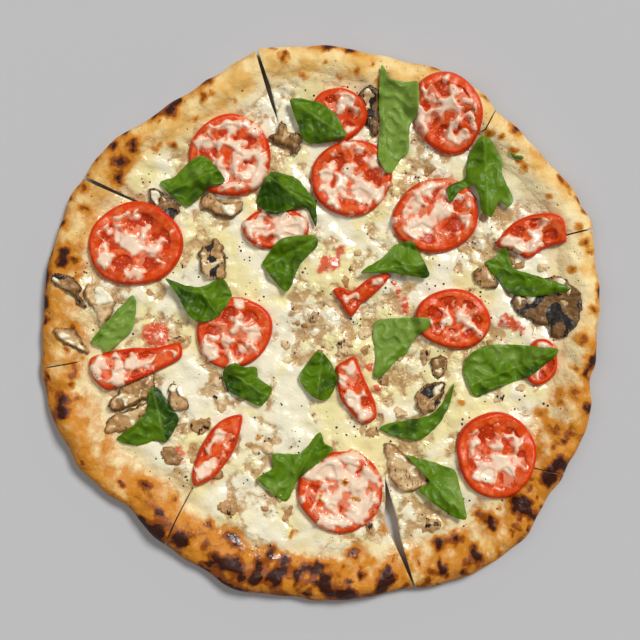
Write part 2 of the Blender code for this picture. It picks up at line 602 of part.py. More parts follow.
def build_cheese(support):
    """The cheese, draped over the slices, with the chopped mushroom fused into it."""
    points, faces = cheese_sheet()
    x, y = points.T
    bottom = settle(points, faces, dough_top(x, y) + GAP, support)
    mesh = slab_mesh("cheese", points, faces, bottom, bottom + cheese_thickness(x, y))
    cheese = add_object("cheese", mesh, "cheese")
    surface = HeightMap()
    surface.stamp(mesh)
    bits = bpy.data.collections.new("bits")
    bpy.context.scene.collection.children.link(bits)
    for number, spot in enumerate(BITS):
        height = surface.at(np.array([spot[0]]), np.array([spot[1]]))[0]
        bit = bpy.data.objects.new(f"bit_{number}", bit_mesh(f"bit_{number}", spot, height))
        bits.objects.link(bit)
    fuse(cheese, bits)
    support.stamp(cheese.data)
    return cheese


def fuse(obj, pieces):
    """Joins the pieces of a collection to an object, and removes them."""
    union = obj.modifiers.new("fuse", "BOOLEAN")
    union.operation = "UNION"
    union.operand_type = "COLLECTION"
    union.collection = pieces
    union.solver = "EXACT"
    graph = bpy.context.evaluated_depsgraph_get()
    mesh = bpy.data.meshes.new_from_object(obj.evaluated_get(graph))
    obj.modifiers.clear()
    obj.data = mesh
    for piece in list(pieces.objects):
        bpy.data.objects.remove(piece)
    bpy.data.collections.remove(pieces)


def lay(name, kind, outline, spacing, support, thickness_of, shape_of=None):
    """Lays one topping on what is there. thickness_of turns the distance from its own edge into
    a thickness, and shape_of gives the height that it holds by itself."""
    points, faces = sheet_within(outline, spacing)
    x, y = points.T
    resting = np.full(len(points), support.at(x, y).min())
    own = resting if shape_of is None else resting + shape_of(x, y)
    bottom = settle(points, faces, own, support)
    inset = distance_to(np.array(outline, float), x, y)
    mesh = slab_mesh(name, points, faces, bottom, bottom + thickness_of(inset))
    support.stamp(mesh)
    return add_object(name, mesh, kind)


def tomato_thickness(inset):
    """A slice rounds off at the skin, and its seeded middle is a little sunken."""
    edge = 0.55 + 0.45 * smooth_step(inset, 0, 4)
    return TOMATO_THICKNESS * edge - TOMATO_DISH * smooth_step(inset, 6, 13)


def mushroom_thickness(inset):
    """A slice of mushroom is nearly flat, with a worn edge."""
    return MUSHROOM_THICKNESS * (0.6 + 0.4 * smooth_step(inset, 0, 4))


def leaf_shape(start, end, rise):
    """The height of a leaf along its midrib and out to its wavy edges."""
    start, end = np.array(start, float), np.array(end, float)
    length = np.linalg.norm(end - start)
    along = (end - start) / length

    def height(x, y):
        run = (x - start[0]) * along[0] + (y - start[1]) * along[1]
        side = np.abs((y - start[1]) * along[0] - (x - start[0]) * along[1])
        fold = rise * side / (0.35 * length)
        wave = 0.8 * np.sin(run / length * 9 + side / 3)
        return fold + max(0.0, -2 * rise) + wave

    return height


def main():
    clear_scene()
    support = HeightMap()
    for index in range(len(CUTS)):
        build_crust(index, support)
    build_cheese(support)
    for name, outline in MUSHROOMS:
        lay(name, "mushroom", outline, 8.5, support, mushroom_thickness)
    for number, (name, middle, half_length, half_width, turn) in enumerate(ROUND_TOMATOES):
        outline = oval(middle, half_length, half_width, turn, ROUND_TOMATO_POINTS, seed=number)
        lay(name, "tomato", outline, 9.5, support, tomato_thickness)
    for name, outline in SHAPED_TOMATOES:
        lay(name, "tomato", outline, 9.5, support, tomato_thickness)
    for name, start, end, rise, outline in LEAVES:
        shape = leaf_shape(start, end, rise)
        lay(name, "basil", outline, 7, support, lambda inset: LEAF_THICKNESS + 0 * inset, shape)


main()
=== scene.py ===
"""The looks of a hand-stretched pizza cut into eight slices: dough with a browned rim, melted
cheese, mushrooms, tomato slices with cheese run over them, and basil leaves.

Sizes and places are in millimetres, and MM turns them into metres. The origin is the middle of
the flat underside, +Z is up, and +Y is the far side of the pizza as it is looked down on. Each
piece is laid on what is already there, in the order in which a cook lays them.
"""

import math

import bpy
import numpy as np
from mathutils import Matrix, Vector
from mathutils.geometry import delaunay_2d_cdt


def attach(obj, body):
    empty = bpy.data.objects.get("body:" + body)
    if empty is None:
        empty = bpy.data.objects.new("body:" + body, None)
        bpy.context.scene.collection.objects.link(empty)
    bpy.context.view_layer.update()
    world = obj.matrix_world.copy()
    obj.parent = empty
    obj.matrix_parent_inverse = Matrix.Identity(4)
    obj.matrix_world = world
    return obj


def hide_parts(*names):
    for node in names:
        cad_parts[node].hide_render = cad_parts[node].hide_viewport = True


bl_info = {
    "name": "Sliced pizza",
    "version": (1, 0, 0),
    "blender": (4, 5, 0),
    "location": "View3D > Sidebar > Pizza",
    "description": "Dresses a sliced pizza with baked dough, melted cheese and toppings",
    "category": "Object",
}

MM = 0.001

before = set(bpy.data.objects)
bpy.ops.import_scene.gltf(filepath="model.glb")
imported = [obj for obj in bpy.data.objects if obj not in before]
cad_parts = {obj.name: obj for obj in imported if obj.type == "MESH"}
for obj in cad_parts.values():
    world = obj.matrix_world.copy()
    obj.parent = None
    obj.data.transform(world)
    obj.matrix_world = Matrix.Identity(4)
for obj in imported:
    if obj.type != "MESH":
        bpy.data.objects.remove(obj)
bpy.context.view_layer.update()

# Dough
BASE_THICKNESS = 5.0
RIM_HEIGHT = 15.0
RIM_UNEVENNESS = 1.8
RIM_WIDTH = 34.0
CREST_INSET = 11.0
EDGE_HEIGHT = 5.5
EDGE_LIP = 1.2
UNDERCUT = 6.0
EDGE_WOBBLE = 0.5
TIP_RADIUS = 2.5

# Melted cheese
CHEESE_THICKNESS = 3.0
CHEESE_SWELL = 1.0

# Toppings
TOMATO_THICKNESS = 4.6
MUSHROOM_THICKNESS = 3.6
LEAF_THICKNESS = 0.8
GAP = 0.35

# The point where the four straight cuts cross, and the directions from it of the hottest side
# and of the lower left side, which is a little more browned than the rest: partly toasting, and
# partly painted shade on the side turned away from the main light
HUB = (19.0, 0.6)
HOT_SIDE = math.radians(-70)
LEFT_SIDE = math.radians(207)

# The distance from the hub at which the width of a slice is measured
PROBE = np.array([150.0])

# The greatest heat that the browning knows, and the level at which run cheese begins to show
HEAT_LIMIT = 1.3
VEIL_LEVEL = -0.35

# A height that stands for nothing being there, and the cells after which random tables repeat
NOWHERE = -1e3
TABLE_CELLS = 64

# Spacing of the points along the outlines of tomatoes and of run cheese, and points of an oval
TOMATO_SPACING = 0.95
RUN_SPACING = 1.2
OVAL_POINTS = 20

# The pizza's edge, clockwise from the cut at the top
OUTLINE = (
    (-39.4, 175), (-21, 175.5), (8, 176.8), (21.6, 173.7), (57.2, 165.2), (74.2, 163.6),
    (79.2, 158.9), (107.3, 144.5), (111, 135), (125, 125.3), (140.3, 107.4), (150.7, 96.5),
    (161, 87), (165.1, 76), (173.7, 65), (174.5, 40), (178.3, 24.8), (178.3, 14.4),
    (176.2, -6.9), (175.8, -25.6), (171.5, -34), (173.2, -53.7), (163.8, -81.9),
    (158.1, -88.9), (155.6, -96.5), (147.3, -107.6), (138.8, -121.9), (132.7, -134.6),
    (123.5, -143.3), (93.7, -161.2), (63.9, -169.2), (59, -167.5), (29.8, -174.3),
    (-0.6, -177.2), (-15.9, -173.9), (-58.4, -168.8), (-68.6, -160.3), (-99, -140.7),
    (-108.6, -134.8), (-119.5, -117.8), (-136.5, -108.5), (-157.8, -86.4), (-158.6, -80.4),
    (-168.9, -65.9), (-174.8, -41.7), (-178.2, -30.5), (-176.5, -16.3), (-175.6, 12.7),
    (-174.8, 27.9), (-163.8, 66.7), (-158.6, 81.5), (-149.7, 93.3), (-143.3, 104.4),
    (-123.8, 122.3), (-111.9, 127.4), (-78.7, 149.5), (-70.2, 156.7), (-63.5, 158),
    (-53.3, 167.3), (-42.2, 172.1),
)  # fmt: skip

# Each cut from the hub outwards, counterclockwise from the right: where it runs, how wide it
# gapes there, and the distance from the hub beyond which the cheese too is parted
CUTS = (
    (((60, 17, 0.8), (154.3, 55.2, 0.9), (176, 60.5, 1.2)), 143),
    (((57.8, 84.5, 0.8), (104.1, 121.9, 0.8), (113, 139, 1.0)), 150),
    (((8.3, 20.3, 0.8), (-27.3, 130.2, 1.4), (-33, 150, 3.0), (-42, 178, 1.4)), 134),
    (((-95.3, 67.3, 0.8), (-124.5, 80.6, 1.6), (-140, 87.5, 2.4), (-153, 93.8, 1.4)), 146),
    (((-106, -15.2, 0.8), (-156.8, -25.4, 0.8), (-182, -30, 0.9)), 172),
    (((-80.6, -104.1, 0.8), (-98.4, -141.6, 1.0), (-103, -150, 1.2)), 143),
    (((26.7, -23.5, 0.8), (36.2, -51.4, 0.9), (41.5, -100, 1.0), (43.5, -112, 3.5),
      (44.5, -124, 9), (49, -138, 5), (53.7, -150.5, 3), (58.4, -163.2, 1.4), (62, -174, 1.2)), 98),
    (((132.1, -90.8, 0.8), (156.2, -95.9, 0.9), (165, -97.7, 1.0)), 146),
)  # fmt: skip

# How far the cheese stops short of the edge of each slice, in the order of the cuts
CHEESE_MARGINS = (20, 18, 16, 20, 27, 22, 25, 22)

# Browned and charred blisters, slice by slice of the rim and then in the cheese: place, about
# half the length outwards, half the width, and how dark each one is
SCORCHED = (
    (6, 175.5, 2, 5, 0.9), (19, 173, 2.5, 2.5, 0.9), (-23, 167, 3.5, 2, 0.85),
    (-10.5, 156, 2.5, 2.5, 0.6), (74, 162.5, 3, 3, 0.7), (105, 143.5, 2, 2, 0.6),
    (123, 122.5, 3, 3, 0.9), (157, 87, 1.5, 1.5, 0.7), (163.5, 77.5, 1.5, 2, 0.9),
    (177, 20.5, 2, 4, 1), (172.5, 9, 2, 2, 0.7), (164.5, -10.5, 4, 3, 0.6),
    (172.5, -23, 3.5, 3, 1), (167, -32, 2, 2, 0.8), (161.5, -44, 3, 3, 0.5), (170, -54, 3, 3, 1),
    (140.5, -57.5, 4, 4, 0.5), (151, -70, 6, 4, 0.45), (151, -86.5, 3.5, 3, 0.8),
    (144.5, -94, 3, 5, 1), (144, -101, 3, 3, 0.9), (128, -114.5, 6, 5, 1.05),
    (101, -121.5, 3, 3, 0.7), (108, -128, 5, 2.5, 1.1), (86.5, -136.5, 4, 4, 0.85),
    (76, -140.5, 3.5, 3.5, 0.75), (99, -147, 4, 3, 1), (76.5, -153, 4.5, 2, 0.9),
    (41.5, -131.5, 3, 3, 0.7), (22, -146, 4, 5, 0.65), (41.5, -161.5, 4, 4.5, 1.05),
    (16.5, -170, 4, 6, 1.05), (4, -165.5, 5, 3, 1.05), (-2.5, -155.5, 3, 3, 0.85),
    (-14.5, -161.5, 4.5, 2.5, 1), (-26.5, -160.5, 5.5, 3, 1), (-31, -145, 5, 3, 0.75),
    (-41, -159.5, 4.5, 2.5, 1), (-57, -153, 4, 8, 1.05), (-55, -136.5, 4, 5.5, 0.9),
    (-58, -167.5, 2, 6, 1), (-70.5, -127, 2.5, 2.5, 0.6), (-17.5, -134.5, 3, 1.5, 0.9),
    (-22, -149, 3, 3, 0.6), (-88, -137, 4.5, 4, 1.15), (-104, -132.5, 5, 4.5, 1.05),
    (-112.5, -136.5, 3, 3, 1.1), (-110, -102.5, 3.5, 4, 0.55), (-92.5, -112.5, 3, 3, 0.45),
    (-162.5, -47, 3.5, 5, 0.75), (-162.5, -56.5, 4, 4, 0.9), (-172.5, -34.5, 1.5, 2.5, 0.8),
    (-175, 13, 2.5, 4, 0.95), (-174, 29.5, 2.5, 4, 0.95), (-162.5, 38, 3.5, 3, 0.85),
    (-161.5, 44.5, 3.5, 4, 0.95), (-148, 72.5, 2, 2, 0.75), (-148.5, 86.5, 2.5, 2, 0.8),
    (-127, 91, 2.5, 3.5, 0.75), (-126, 101.5, 4.5, 4.5, 1.05), (-117.5, 108, 2.5, 2.5, 0.75),
    (-118, 114, 3, 3, 0.8), (-131, 112, 2.5, 2.5, 0.95), (-141.5, 104, 1.5, 1.5, 0.7),
    (-123, 120.5, 2, 2, 1), (-104, 131.5, 2, 3.5, 0.8), (-93.5, 112.5, 2, 2, 0.85),
    (-94.5, 134, 4.5, 4.5, 0.95), (-90.5, 141, 2.5, 2.5, 0.95), (-72, 153, 3, 4.5, 0.95),
    (-75, 143.5, 2, 2, 0.6), (-67.5, 145.5, 2, 2, 0.6), (-34, 131.5, 2, 2, 0.5),
    (-39.5, -72, 2.5, 2.5, 0.6), (89.5, -50, 2.5, 2.5, 0.6), (32.5, -71, 2, 2, 0.5),
    (15.5, -101, 2.5, 2.5, 0.6), (22, -111.5, 2, 4, 0.6), (0, -112, 2, 2, 0.9),
    (113.5, -97, 2, 2, 0.8),
)  # fmt: skip

# The largest smooth pools of cheese, and with a negative number the places where it stays rough:
# middle, radius and how marked each one is
POOLS = (
    (-49, 32, 19, 1.3), (-20, -54, 19, 1.2), (98, -53, 14, 1), (-106, 96, 9, 1), (131, 94, 14, 1),
    (78, 25, 12, 1), (20, 57, 10, 1), (-86, -28, 12, 1), (16, -72, 12, 1), (82, -98, 12, 1),
    (155, -49, 9, 0.8), (-4, -131, 12, 0.8), (-70, -115, 12, 0.8), (8, 0, 14, -1),
    (-97, -10, 12, -0.8), (61, -77, 9, -1), (-86, 46, 11, -0.8), (74, 106, 12, -0.9),
    (147, -30, 9, -0.8), (-50, -44, 10, -0.7), (-40, -88, 12, -0.6), (50, -12, 12, -0.7),
)  # fmt: skip

# Where tomato shows red through the cheese: middle, radius and how red each place is
BLUSHES = (
    (7.5, 38, 5, 1.4), (12.5, 46.5, 4, 0.8), (0, 34.5, 5, 0.6), (117.5, 1, 4, 1.3), (126, -2, 6, 0.6),
    (37.5, -41.5, 3, 1.1), (32.5, -29, 3, 1.1), (-91.5, -84.5, 7, 0.8), (-65.5, -97, 4, 1.2),
    (-104, -8, 8, 1.2), (47, 26, 2.5, 1.1), (50, 20, 2.5, 1.1), (53, 13, 2.5, 1.1), (55, 8, 2.5, 0.9),
)  # fmt: skip

# Chopped mushroom in the cheese: middle, length, width and turn in degrees
BITS = (
    (-44.5, 130, 11, 7, 30), (-86, 38.5, 8, 6, 70), (-90, -11, 9, 6, 10), (6.5, 14.5, 10, 7, 5),
    (-3, 4, 9, 7, 60), (16, 27, 9, 5, 110), (28.5, -6.5, 9, 8, 20), (29, -17, 8, 6, 80),
    (41, -36.5, 9, 7, 130), (51.5, -57, 11, 7, 160), (33, -70, 9, 7, 30), (-65, -38, 9, 7, 20),
    (-62, -53, 9, 7, 60), (-76, -65, 13, 11, 0), (-34, -80.5, 11, 7, 150), (-45, -77.5, 7, 5, 0),
    (-65.5, -96, 9, 7, 40), (-26, -110.5, 9, 7, 120), (-20.5, -121.5, 14, 6, 65),
    (114, -47.5, 9, 6, 45), (127, -41.5, 8, 6, 30), (126.5, 36.5, 9, 6, 20), (141.5, 35, 9, 7, 0),
    (66.5, -21.5, 11, 7, 100), (70, 97, 9, 6, 10), (-22, -14, 9, 6, 150), (71, -129.5, 12, 8, 20),
    (-95, -84, 15, 10, 145), (15, -16, 13, 11, 45), (-58.5, -117, 17, 9, -12),
)  # fmt: skip

# Whole tomato slices: middle, half length, half width and turn in degrees, then how much of the
# slice the melted cheese hides, the direction that it leans to, and how far it keeps to the middle
ROUND_TOMATOES = (
    ("tomato_01", (-57, 106), 26, 26, 0, 0.62, -30, 0.2),
    ("tomato_02", (-117, 50), 30, 26.5, 8, 0.52, 250, 1.0),
    ("tomato_03", (11.5, 132), 18, 17, 0, 0.25, 20, 0.0),
    ("tomato_04", (20, 92), 26, 24, 20, 0.6, -50, 0.2),
    ("tomato_05", (80.5, 133), 26.5, 21, 110, 0.5, 200, 0.0),
    ("tomato_06", (73.5, 68), 27.5, 23.5, 15, 0.54, 120, 0.1),
    ("tomato_07", (-28, 60), 21, 13.5, 0, 0.78, 0, 0.0),
    ("tomato_08", (84.5, 2.5), 24, 19, -8, 0.36, -60, 0.3),
    ("tomato_09", (-54.5, -6), 24.5, 22, 25, 0.54, 250, 0.3),
    ("tomato_10", (111.5, -83.5), 27.5, 25, 95, 0.52, -60, 0.9),
    ("tomato_11", (13, -107), 27, 26, 0, 0.85, 60, 0.3),
    ("tomato_12", (140, -25), 15, 10.5, 80, 0.4, 90, 0.0),
)

# Tomato slices that the cutter or a fold has left in another shape: the cheese over it and the
# outline
SHAPED_TOMATOES = (
    ("tomato_13", 0.45, ((112, 49), (116.6, 57.4), (125, 65), (136, 69), (147, 69), (153.3, 64.7),
                        (155.5, 54), (154.8, 50.8), (142, 47), (135, 42), (130, 41), (124, 45))),
    ("tomato_14", 0.55, ((-146.5, -26.6), (-144.8, -21.8), (-133.7, -18.3), (-119, -15.8),
                         (-105, -15.8), (-90, -12.5), (-87.3, -17.6), (-89, -23.1), (-102, -30),
                         (-116, -36.2), (-129.6, -41.7), (-136.5, -42.4), (-143.4, -36.2))),
    ("tomato_15", 0.3, ((8.2, 20.7), (13.5, 22.7), (20, 20.3), (31.3, 28.4), (43.5, 31.2),
                        (42, 26), (31.3, 15.4), (26.5, 12.2), (19.5, 4.1), (11.9, 14.6))),
    ("tomato_16", 0.5, ((22.4, -21.8), (26.5, -31.6), (31.3, -42.1), (35.4, -51.8), (35, -60.7),
                         (26.5, -63.6), (16.7, -53.4), (12.2, -46), (10.2, -28.3), (15.1, -24.3))),
    ("tomato_17", 0.45, ((-79, -103.5), (-81, -95.2), (-76, -79.4), (-67, -65.6), (-59, -60),
                        (-50, -58.4), (-50, -66), (-53.4, -78), (-59, -88.3), (-68.6, -98.7))),
)  # fmt: skip

# Mushroom slices: how brown, how black the gills are, and the outline
MUSHROOMS = (
    ("mushroom_01", 0.7, 1.0, (
        (122.3, 10.7), (125, 20), (137, 26.5), (151.8, 30), (159, 24), (164, 19.2), (165.2, 11.3),
        (162.7, 1), (158.5, -5), (154.2, -9.4), (147, -8.8), (145, -2.7), (136, 0), (128.7, 4.6))),
    ("mushroom_02", 0.5, 0.9, (
        (-169.5, 29.2), (-164, 31.3), (-157, 29.5), (-151.6, 24), (-152, 18), (-149, 10),
        (-152, 10.5), (-157, 18.9), (-164, 21.6))),
    ("mushroom_03", 0.1, 0.1, (
        (-149.4, 20.2), (-147.5, 24.4), (-142, 25), (-133.7, 21), (-130, 14), (-131, 7.8),
        (-136.5, -0.4), (-140.6, -1.8), (-141, 6), (-146.5, 12.7))),
    ("mushroom_04", 0.3, 0.1, (
        (-168.2, -4.5), (-162.7, -3.2), (-155, -4.5), (-150.3, -12), (-146.8, -17.6),
        (-148.2, -19.4), (-157, -15), (-164, -10.7))),
    ("mushroom_05", 0.45, 0.1, (
        (-135, -52), (-129.6, -45.2), (-117.2, -36.2), (-107.6, -32), (-104.8, -40.4),
        (-105.5, -44.5), (-116, -51), (-128.2, -56), (-133, -55.8))),
    ("mushroom_06", 0.35, 0.1, (
        (-136.6, -67.6), (-133.2, -60), (-119.6, -54), (-107.7, -49.8), (-111, -57.4),
        (-121.3, -67.6), (-133.2, -69.3))),
    ("mushroom_07", 0.25, 0.2, (
        (-95.2, -39.7), (-91, -39), (-89, -45.2), (-83.5, -50), (-83.5, -53.4), (-89.7, -55.5),
        (-95.2, -53.4))),
    ("mushroom_08", 0.35, 0.7, (
        (-76.2, 45.8), (-67, 53), (-61.7, 48.4), (-59.2, 36.5), (-61.7, 28), (-73.6, 28.8),
        (-76.2, 37.3))),
    ("mushroom_09", 0.4, 0.3, (
        (-75.4, 79.5), (-71, 82.8), (-60, 76.3), (-50, 78.2), (-48.8, 73), (-55.3, 66.6),
        (-63, 67.2), (-74.8, 74.3))),
    ("mushroom_10", 0.6, 0.9, (
        (-109, 83.4), (-103.3, 85.4), (-98, 80.8), (-90.3, 76.3), (-89.7, 69.8), (-96.8, 66),
        (-104.6, 73))),
    ("mushroom_11", 0.5, 0.4, (
        (-32.2, 118.5), (-28, 121.5), (-24.3, 128.2), (-19.5, 121.5), (-13.4, 120.3),
        (-12.2, 113), (-14.6, 107), (-23, 113.5), (-28.6, 113.6))),
    ("mushroom_12", 0.5, 0.9, (
        (61.4, -49), (64, -41.2), (73.3, -37.7), (79.5, -38), (78, -46), (73.3, -55),
        (64.8, -58))),
    ("mushroom_13", 0.5, 0.9, (
        (70.2, -23.5), (74.8, -20.4), (80.2, -21.2), (81, -27.3), (77, -34.3), (71.8, -32))),
    ("mushroom_14", 0.4, 1.0, (
        (97.7, 31.3), (101.4, 36.2), (106.2, 35.6), (110, 29.5), (113.5, 25.2), (111.7, 21.6),
        (103.2, 23), (99, 26))),
    ("mushroom_15", 0.8, 1.0, (
        (24.3, 144), (30.3, 150), (37, 146.4), (37.6, 130), (35.8, 118), (31, 125),
        (28, 136.7))),
    ("mushroom_16", 0.2, 0.3, (
        (41.2, -77.6), (47, -76.8), (54, -84), (66.3, -92.2), (68, -102), (61.4, -106),
        (51.7, -106.8), (45.2, -98.7), (43.6, -89.8))),
)  # fmt: skip

# Basil leaves: where the midrib starts and ends, how far the edges rise above it (or fall below
# it, where the number is negative), how light it is, and the outline
LEAVES = (
    ("basil_01", (-98, 83), (-64, 97), 2, 0.3, (
        (-101.3, 89), (-92.3, 93), (-83.8, 101), (-72.8, 105.4), (-60, 90), (-71.5, 84.7),
        (-83.8, 74.3), (-94.2, 80.8))),
    ("basil_02", (-18, 141), (16, 118), -3, 0.3, (
        (-19.2, 140), (-17, 141.8), (-8.6, 141.2), (0.6, 138.5), (9.7, 131.8), (16.4, 117.5),
        (7.2, 114.5), (-4.3, 113.6), (-9.8, 115.4), (-12.8, 121.5))),
    ("basil_03", (39, 161), (43, 96), 3, 0.85, (
        (38.7, 161.9), (44, 154), (53.6, 152.2), (61.5, 151.6), (61.5, 133.4), (56.7, 123),
        (56, 108.5), (51.8, 104.8), (45.4, 94.8), (41.5, 95), (36.6, 104.8), (38.4, 126.7),
        (37.2, 140.7))),
    ("basil_04", (-32, 92), (-5, 75), -2, 0.1, (
        (-32, 94.8), (-23, 94.5), (-14.6, 91.7), (-8.6, 84.4), (-3, 76.5), (-2.5, 61),
        (-9.8, 73.5), (-26.8, 68.6), (-33, 69.3), (-40, 76), (-39.5, 80.8))),
    ("basil_05", (-34, 36), (-3, 53), 2, 0.3, (
        (-36.3, 38.2), (-26, 51.8), (-16, 54.8), (-5.7, 55.6), (-1.9, 54.3), (-1.9, 48.4),
        (-12.5, 37.3), (-19.3, 21.2), (-23.5, 20.7), (-33.7, 33))),
    ("basil_06", (27, 32), (66, 38), -3.5, 0.3, (
        (25.6, 31.6), (39.4, 41.4), (47.5, 49.5), (57.2, 51.5), (63.7, 43), (69, 30.8),
        (65.3, 28.4), (43.5, 32))),
    ("basil_07", (-76, 23), (-64, 4), 3, 0.3, (
        (-97, 28), (-86.4, 24.2), (-75.3, 23), (-64.3, 27.6), (-60, 27), (-55.8, 17), (-64.3, 4.2),
        (-74.5, 0.3), (-82.2, 4.2), (-89.8, 17))),
    ("basil_08", (-118, 16), (-141, -14), 1, 0.75, (
        (-145, -10.7), (-136.5, -0.4), (-119.3, 17.5), (-116.5, 14), (-117.2, 2.3), (-120, -6),
        (-135, -18.7), (-138.6, -15.6), (-143.4, -14.2))),
    ("basil_09", (103.5, 117.5), (106, 68), -3, 0.4, (
        (103.7, 117.8), (110, 112), (115.6, 101.8), (115, 94), (122.3, 79.3), (119.2, 73.2),
        (113.5, 77), (108.3, 67), (101.6, 72), (100.4, 79.3), (96.8, 87), (88, 83), (82.2, 75.7),
        (80.7, 86), (91.6, 91.4), (92.5, 100), (98.6, 114.5))),
    ("basil_10", (107, 38), (157, 22), 3, 0.3, (
        (105, 37.4), (110.5, 41.7), (116.6, 48), (119.6, 44), (123.3, 34.4), (137.2, 30),
        (158, 21.6), (141, 17.4), (131.2, 16.7), (122, 18.3), (116.6, 23.4))),
    ("basil_11", (93, -40), (150, -18), 4, 0.4, (
        (91, -29), (95.6, -19), (106.4, -14), (119.5, -13.5), (138, -15), (151, -17.7),
        (134, -32.7), (122.5, -37.3), (107, -43.5), (100.2, -47), (95.6, -43.5))),
    ("basil_12", (36, -30), (67, 2), -1.5, 0.8, (
        (34, -0.4), (46, 2.9), (67.8, 3.3), (68.2, -3.2), (60.5, -9), (54.8, -19.4), (47.5, -25),
        (38.6, -34.4), (34, -33.6), (35.4, -24.3))),
    ("basil_13", (-2, -48), (1.3, -20), -1.5, 0.2, (
        (-1.5, -17.8), (5.4, -22.7), (11, -35.6), (5.8, -47.4), (-1.9, -48.2), (-10, -41.3),
        (-13, -33.6), (-7.6, -25))),
    ("basil_14", (-60, -30), (-33, -46), 1.5, 0.2, (
        (-61.4, -30.3), (-54, -25.2), (-48.2, -27.7), (-40.5, -28), (-38.8, -35), (-30.3, -41.7),
        (-37, -52.4), (-46.5, -49), (-58.4, -42.6))),
    ("basil_15", (-23, -111), (0, -72), 2.5, 0.35, (
        (-39.3, -99), (-29.5, -91.4), (-30, -83), (-12.5, -82.5), (-0.6, -69.3), (2.8, -76),
        (8, -80.8), (-12.5, -97.4), (-20, -111.8), (-25.2, -111.8))),
    ("basil_16", (40, -68), (84, -39), 1.5, 0.4, (
        (37.5, -67.3), (44, -63.5), (68, -59), (78, -50.4), (84.8, -37.7), (82.5, -50.4),
        (76.4, -62.7), (68, -71.2), (62.5, -74), (51, -73))),
    ("basil_17", (58, -86), (90, -120), -3, 0.45, (
        (55, -84), (63, -85.3), (79.3, -90.6), (85, -93), (88.2, -102), (92.6, -122.6),
        (86.5, -123.4), (74.4, -115.7), (62.2, -105.2), (69.5, -100.3))),
    ("basil_18", (-97.5, -75.5), (-106, -42), -2, 0.0, (
        (-129.3, -73.6), (-118, -65), (-110.2, -55.7), (-107.7, -42), (-102.6, -41.3),
        (-94, -54), (-89.4, -61.7), (-97.5, -75.7), (-102.6, -74), (-117, -77.8))),
)  # fmt: skip

# A small scrap of leaf on the rim, given as the leaves are
SCRAP = ("scrap_19", (119.5, 109), (128.5, 104), 0.5, 0.2, (
    (119.5, 109), (122, 106.5), (127, 105.5), (128.5, 104.5), (127, 103), (122.5, 104),
    (120, 106.5)))  # fmt: skip


# Numbers over the surface


def smooth_step(value, low, high):
    """0 below low, 1 above high, and a smooth rise between them."""
    share = np.clip((value - low) / (high - low), 0, 1)
    return share * share * (3 - 2 * share)


def swell(x, y, wavelength, seed, waves=7):
    """A smooth random relief between about -1 and 1, made of crossing waves."""
    draw = np.random.default_rng(seed)
    total = np.zeros_like(np.asarray(x, float))
    for _ in range(waves):
        turn, phase = draw.uniform(0, 2 * math.pi, 2)
        length = wavelength * draw.uniform(0.7, 1.4)
        along = x * math.cos(turn) + y * math.sin(turn)
        total = total + np.sin(2 * math.pi * along / length + phase)
    return total / math.sqrt(waves)


def lumps(x, y, size, seed, octaves=2, fade=0.55, gain=2.7):
    """Uneven relief between about -1 and 1, with lumps of this size and smaller ones on them."""
    total, weight = 0.0, 0.0
    for octave in range(octaves):
        draw = np.random.default_rng(seed * 31 + octave)
        turns = draw.uniform(0, 2 * math.pi, (TABLE_CELLS, TABLE_CELLS))
        slopes = np.cos(turns), np.sin(turns)
        u, v = x / size * 2**octave + 100, y / size * 2**octave + 100
        i, j = np.floor(u).astype(int), np.floor(v).astype(int)
        fu, fv = smooth_step(u - i, 0, 1), smooth_step(v - j, 0, 1)
        rows = []
        for dj in (0, 1):
            ends = []
            for di in (0, 1):
                corner = (i + di) % TABLE_CELLS, (j + dj) % TABLE_CELLS
                ends.append(slopes[0][corner] * (u - i - di) + slopes[1][corner] * (v - j - dj))
            rows.append(ends[0] * (1 - fu) + ends[1] * fu)
        total = total + (rows[0] * (1 - fv) + rows[1] * fv) * fade**octave
        weight += fade**octave
    return total / weight * gain


def blobs(x, y, size, seed, filled):
    """Round blobs of this size, in this share of the cells: 1 at the middle of each, 0 between."""
    i, j = np.floor(x / size).astype(int), np.floor(y / size).astype(int)
    draw = np.random.default_rng(seed)
    table = draw.uniform(0, 1, (TABLE_CELLS, TABLE_CELLS, 4))
    best = np.zeros_like(np.asarray(x, float))
    for di in (-1, 0, 1):
        for dj in (-1, 0, 1):
            cell = table[(i + di) % TABLE_CELLS, (j + dj) % TABLE_CELLS]
            cx, cy = (i + di + cell[..., 0]) * size, (j + dj + cell[..., 1]) * size
            reach = size * (0.35 + 0.4 * cell[..., 2])
            near = np.clip(1 - np.hypot(x - cx, y - cy) / reach, 0, 1)
            best = np.maximum(best, near * (cell[..., 3] < filled))
    return best


def wavered(x, y, amount, size, seed):
    """The same places, each shifted a little at random."""
    return x + amount * lumps(x, y, size, seed), y + amount * lumps(x, y, size, seed + 1)


def mounds(rows, x, y, level):
    """A level, raised or lowered by a smooth round mound at each place in the rows."""
    for cx, cy, radius, strength in rows:
        level = level + strength * np.exp(-((x - cx) ** 2 + (y - cy) ** 2) / radius**2)
    return level


def turned_back(dx, dy, turn):
    """How far offsets reach along a direction, and across it."""
    return dx * math.cos(turn) + dy * math.sin(turn), dy * math.cos(turn) - dx * math.sin(turn)


# The edge and the cuts


def edge_table(steps=720, blur=3):
    """Directions from the hub, and the distance to the edge in each of them."""
    points = np.array(OUTLINE) - HUB
    angles = np.linspace(-math.pi, math.pi, steps, endpoint=False)
    own = np.arctan2(points[:, 1], points[:, 0])
    order = np.argsort(own)
    reach = np.interp(angles, own[order], np.hypot(*points.T)[order], period=2 * math.pi)
    reach = np.mean([np.roll(reach, shift) for shift in range(-blur, blur + 1)], axis=0)
    return angles, reach + EDGE_WOBBLE * np.sin(angles * 41) * np.sin(angles * 13 + 1)


EDGE_ANGLES, EDGE_REACH = edge_table()


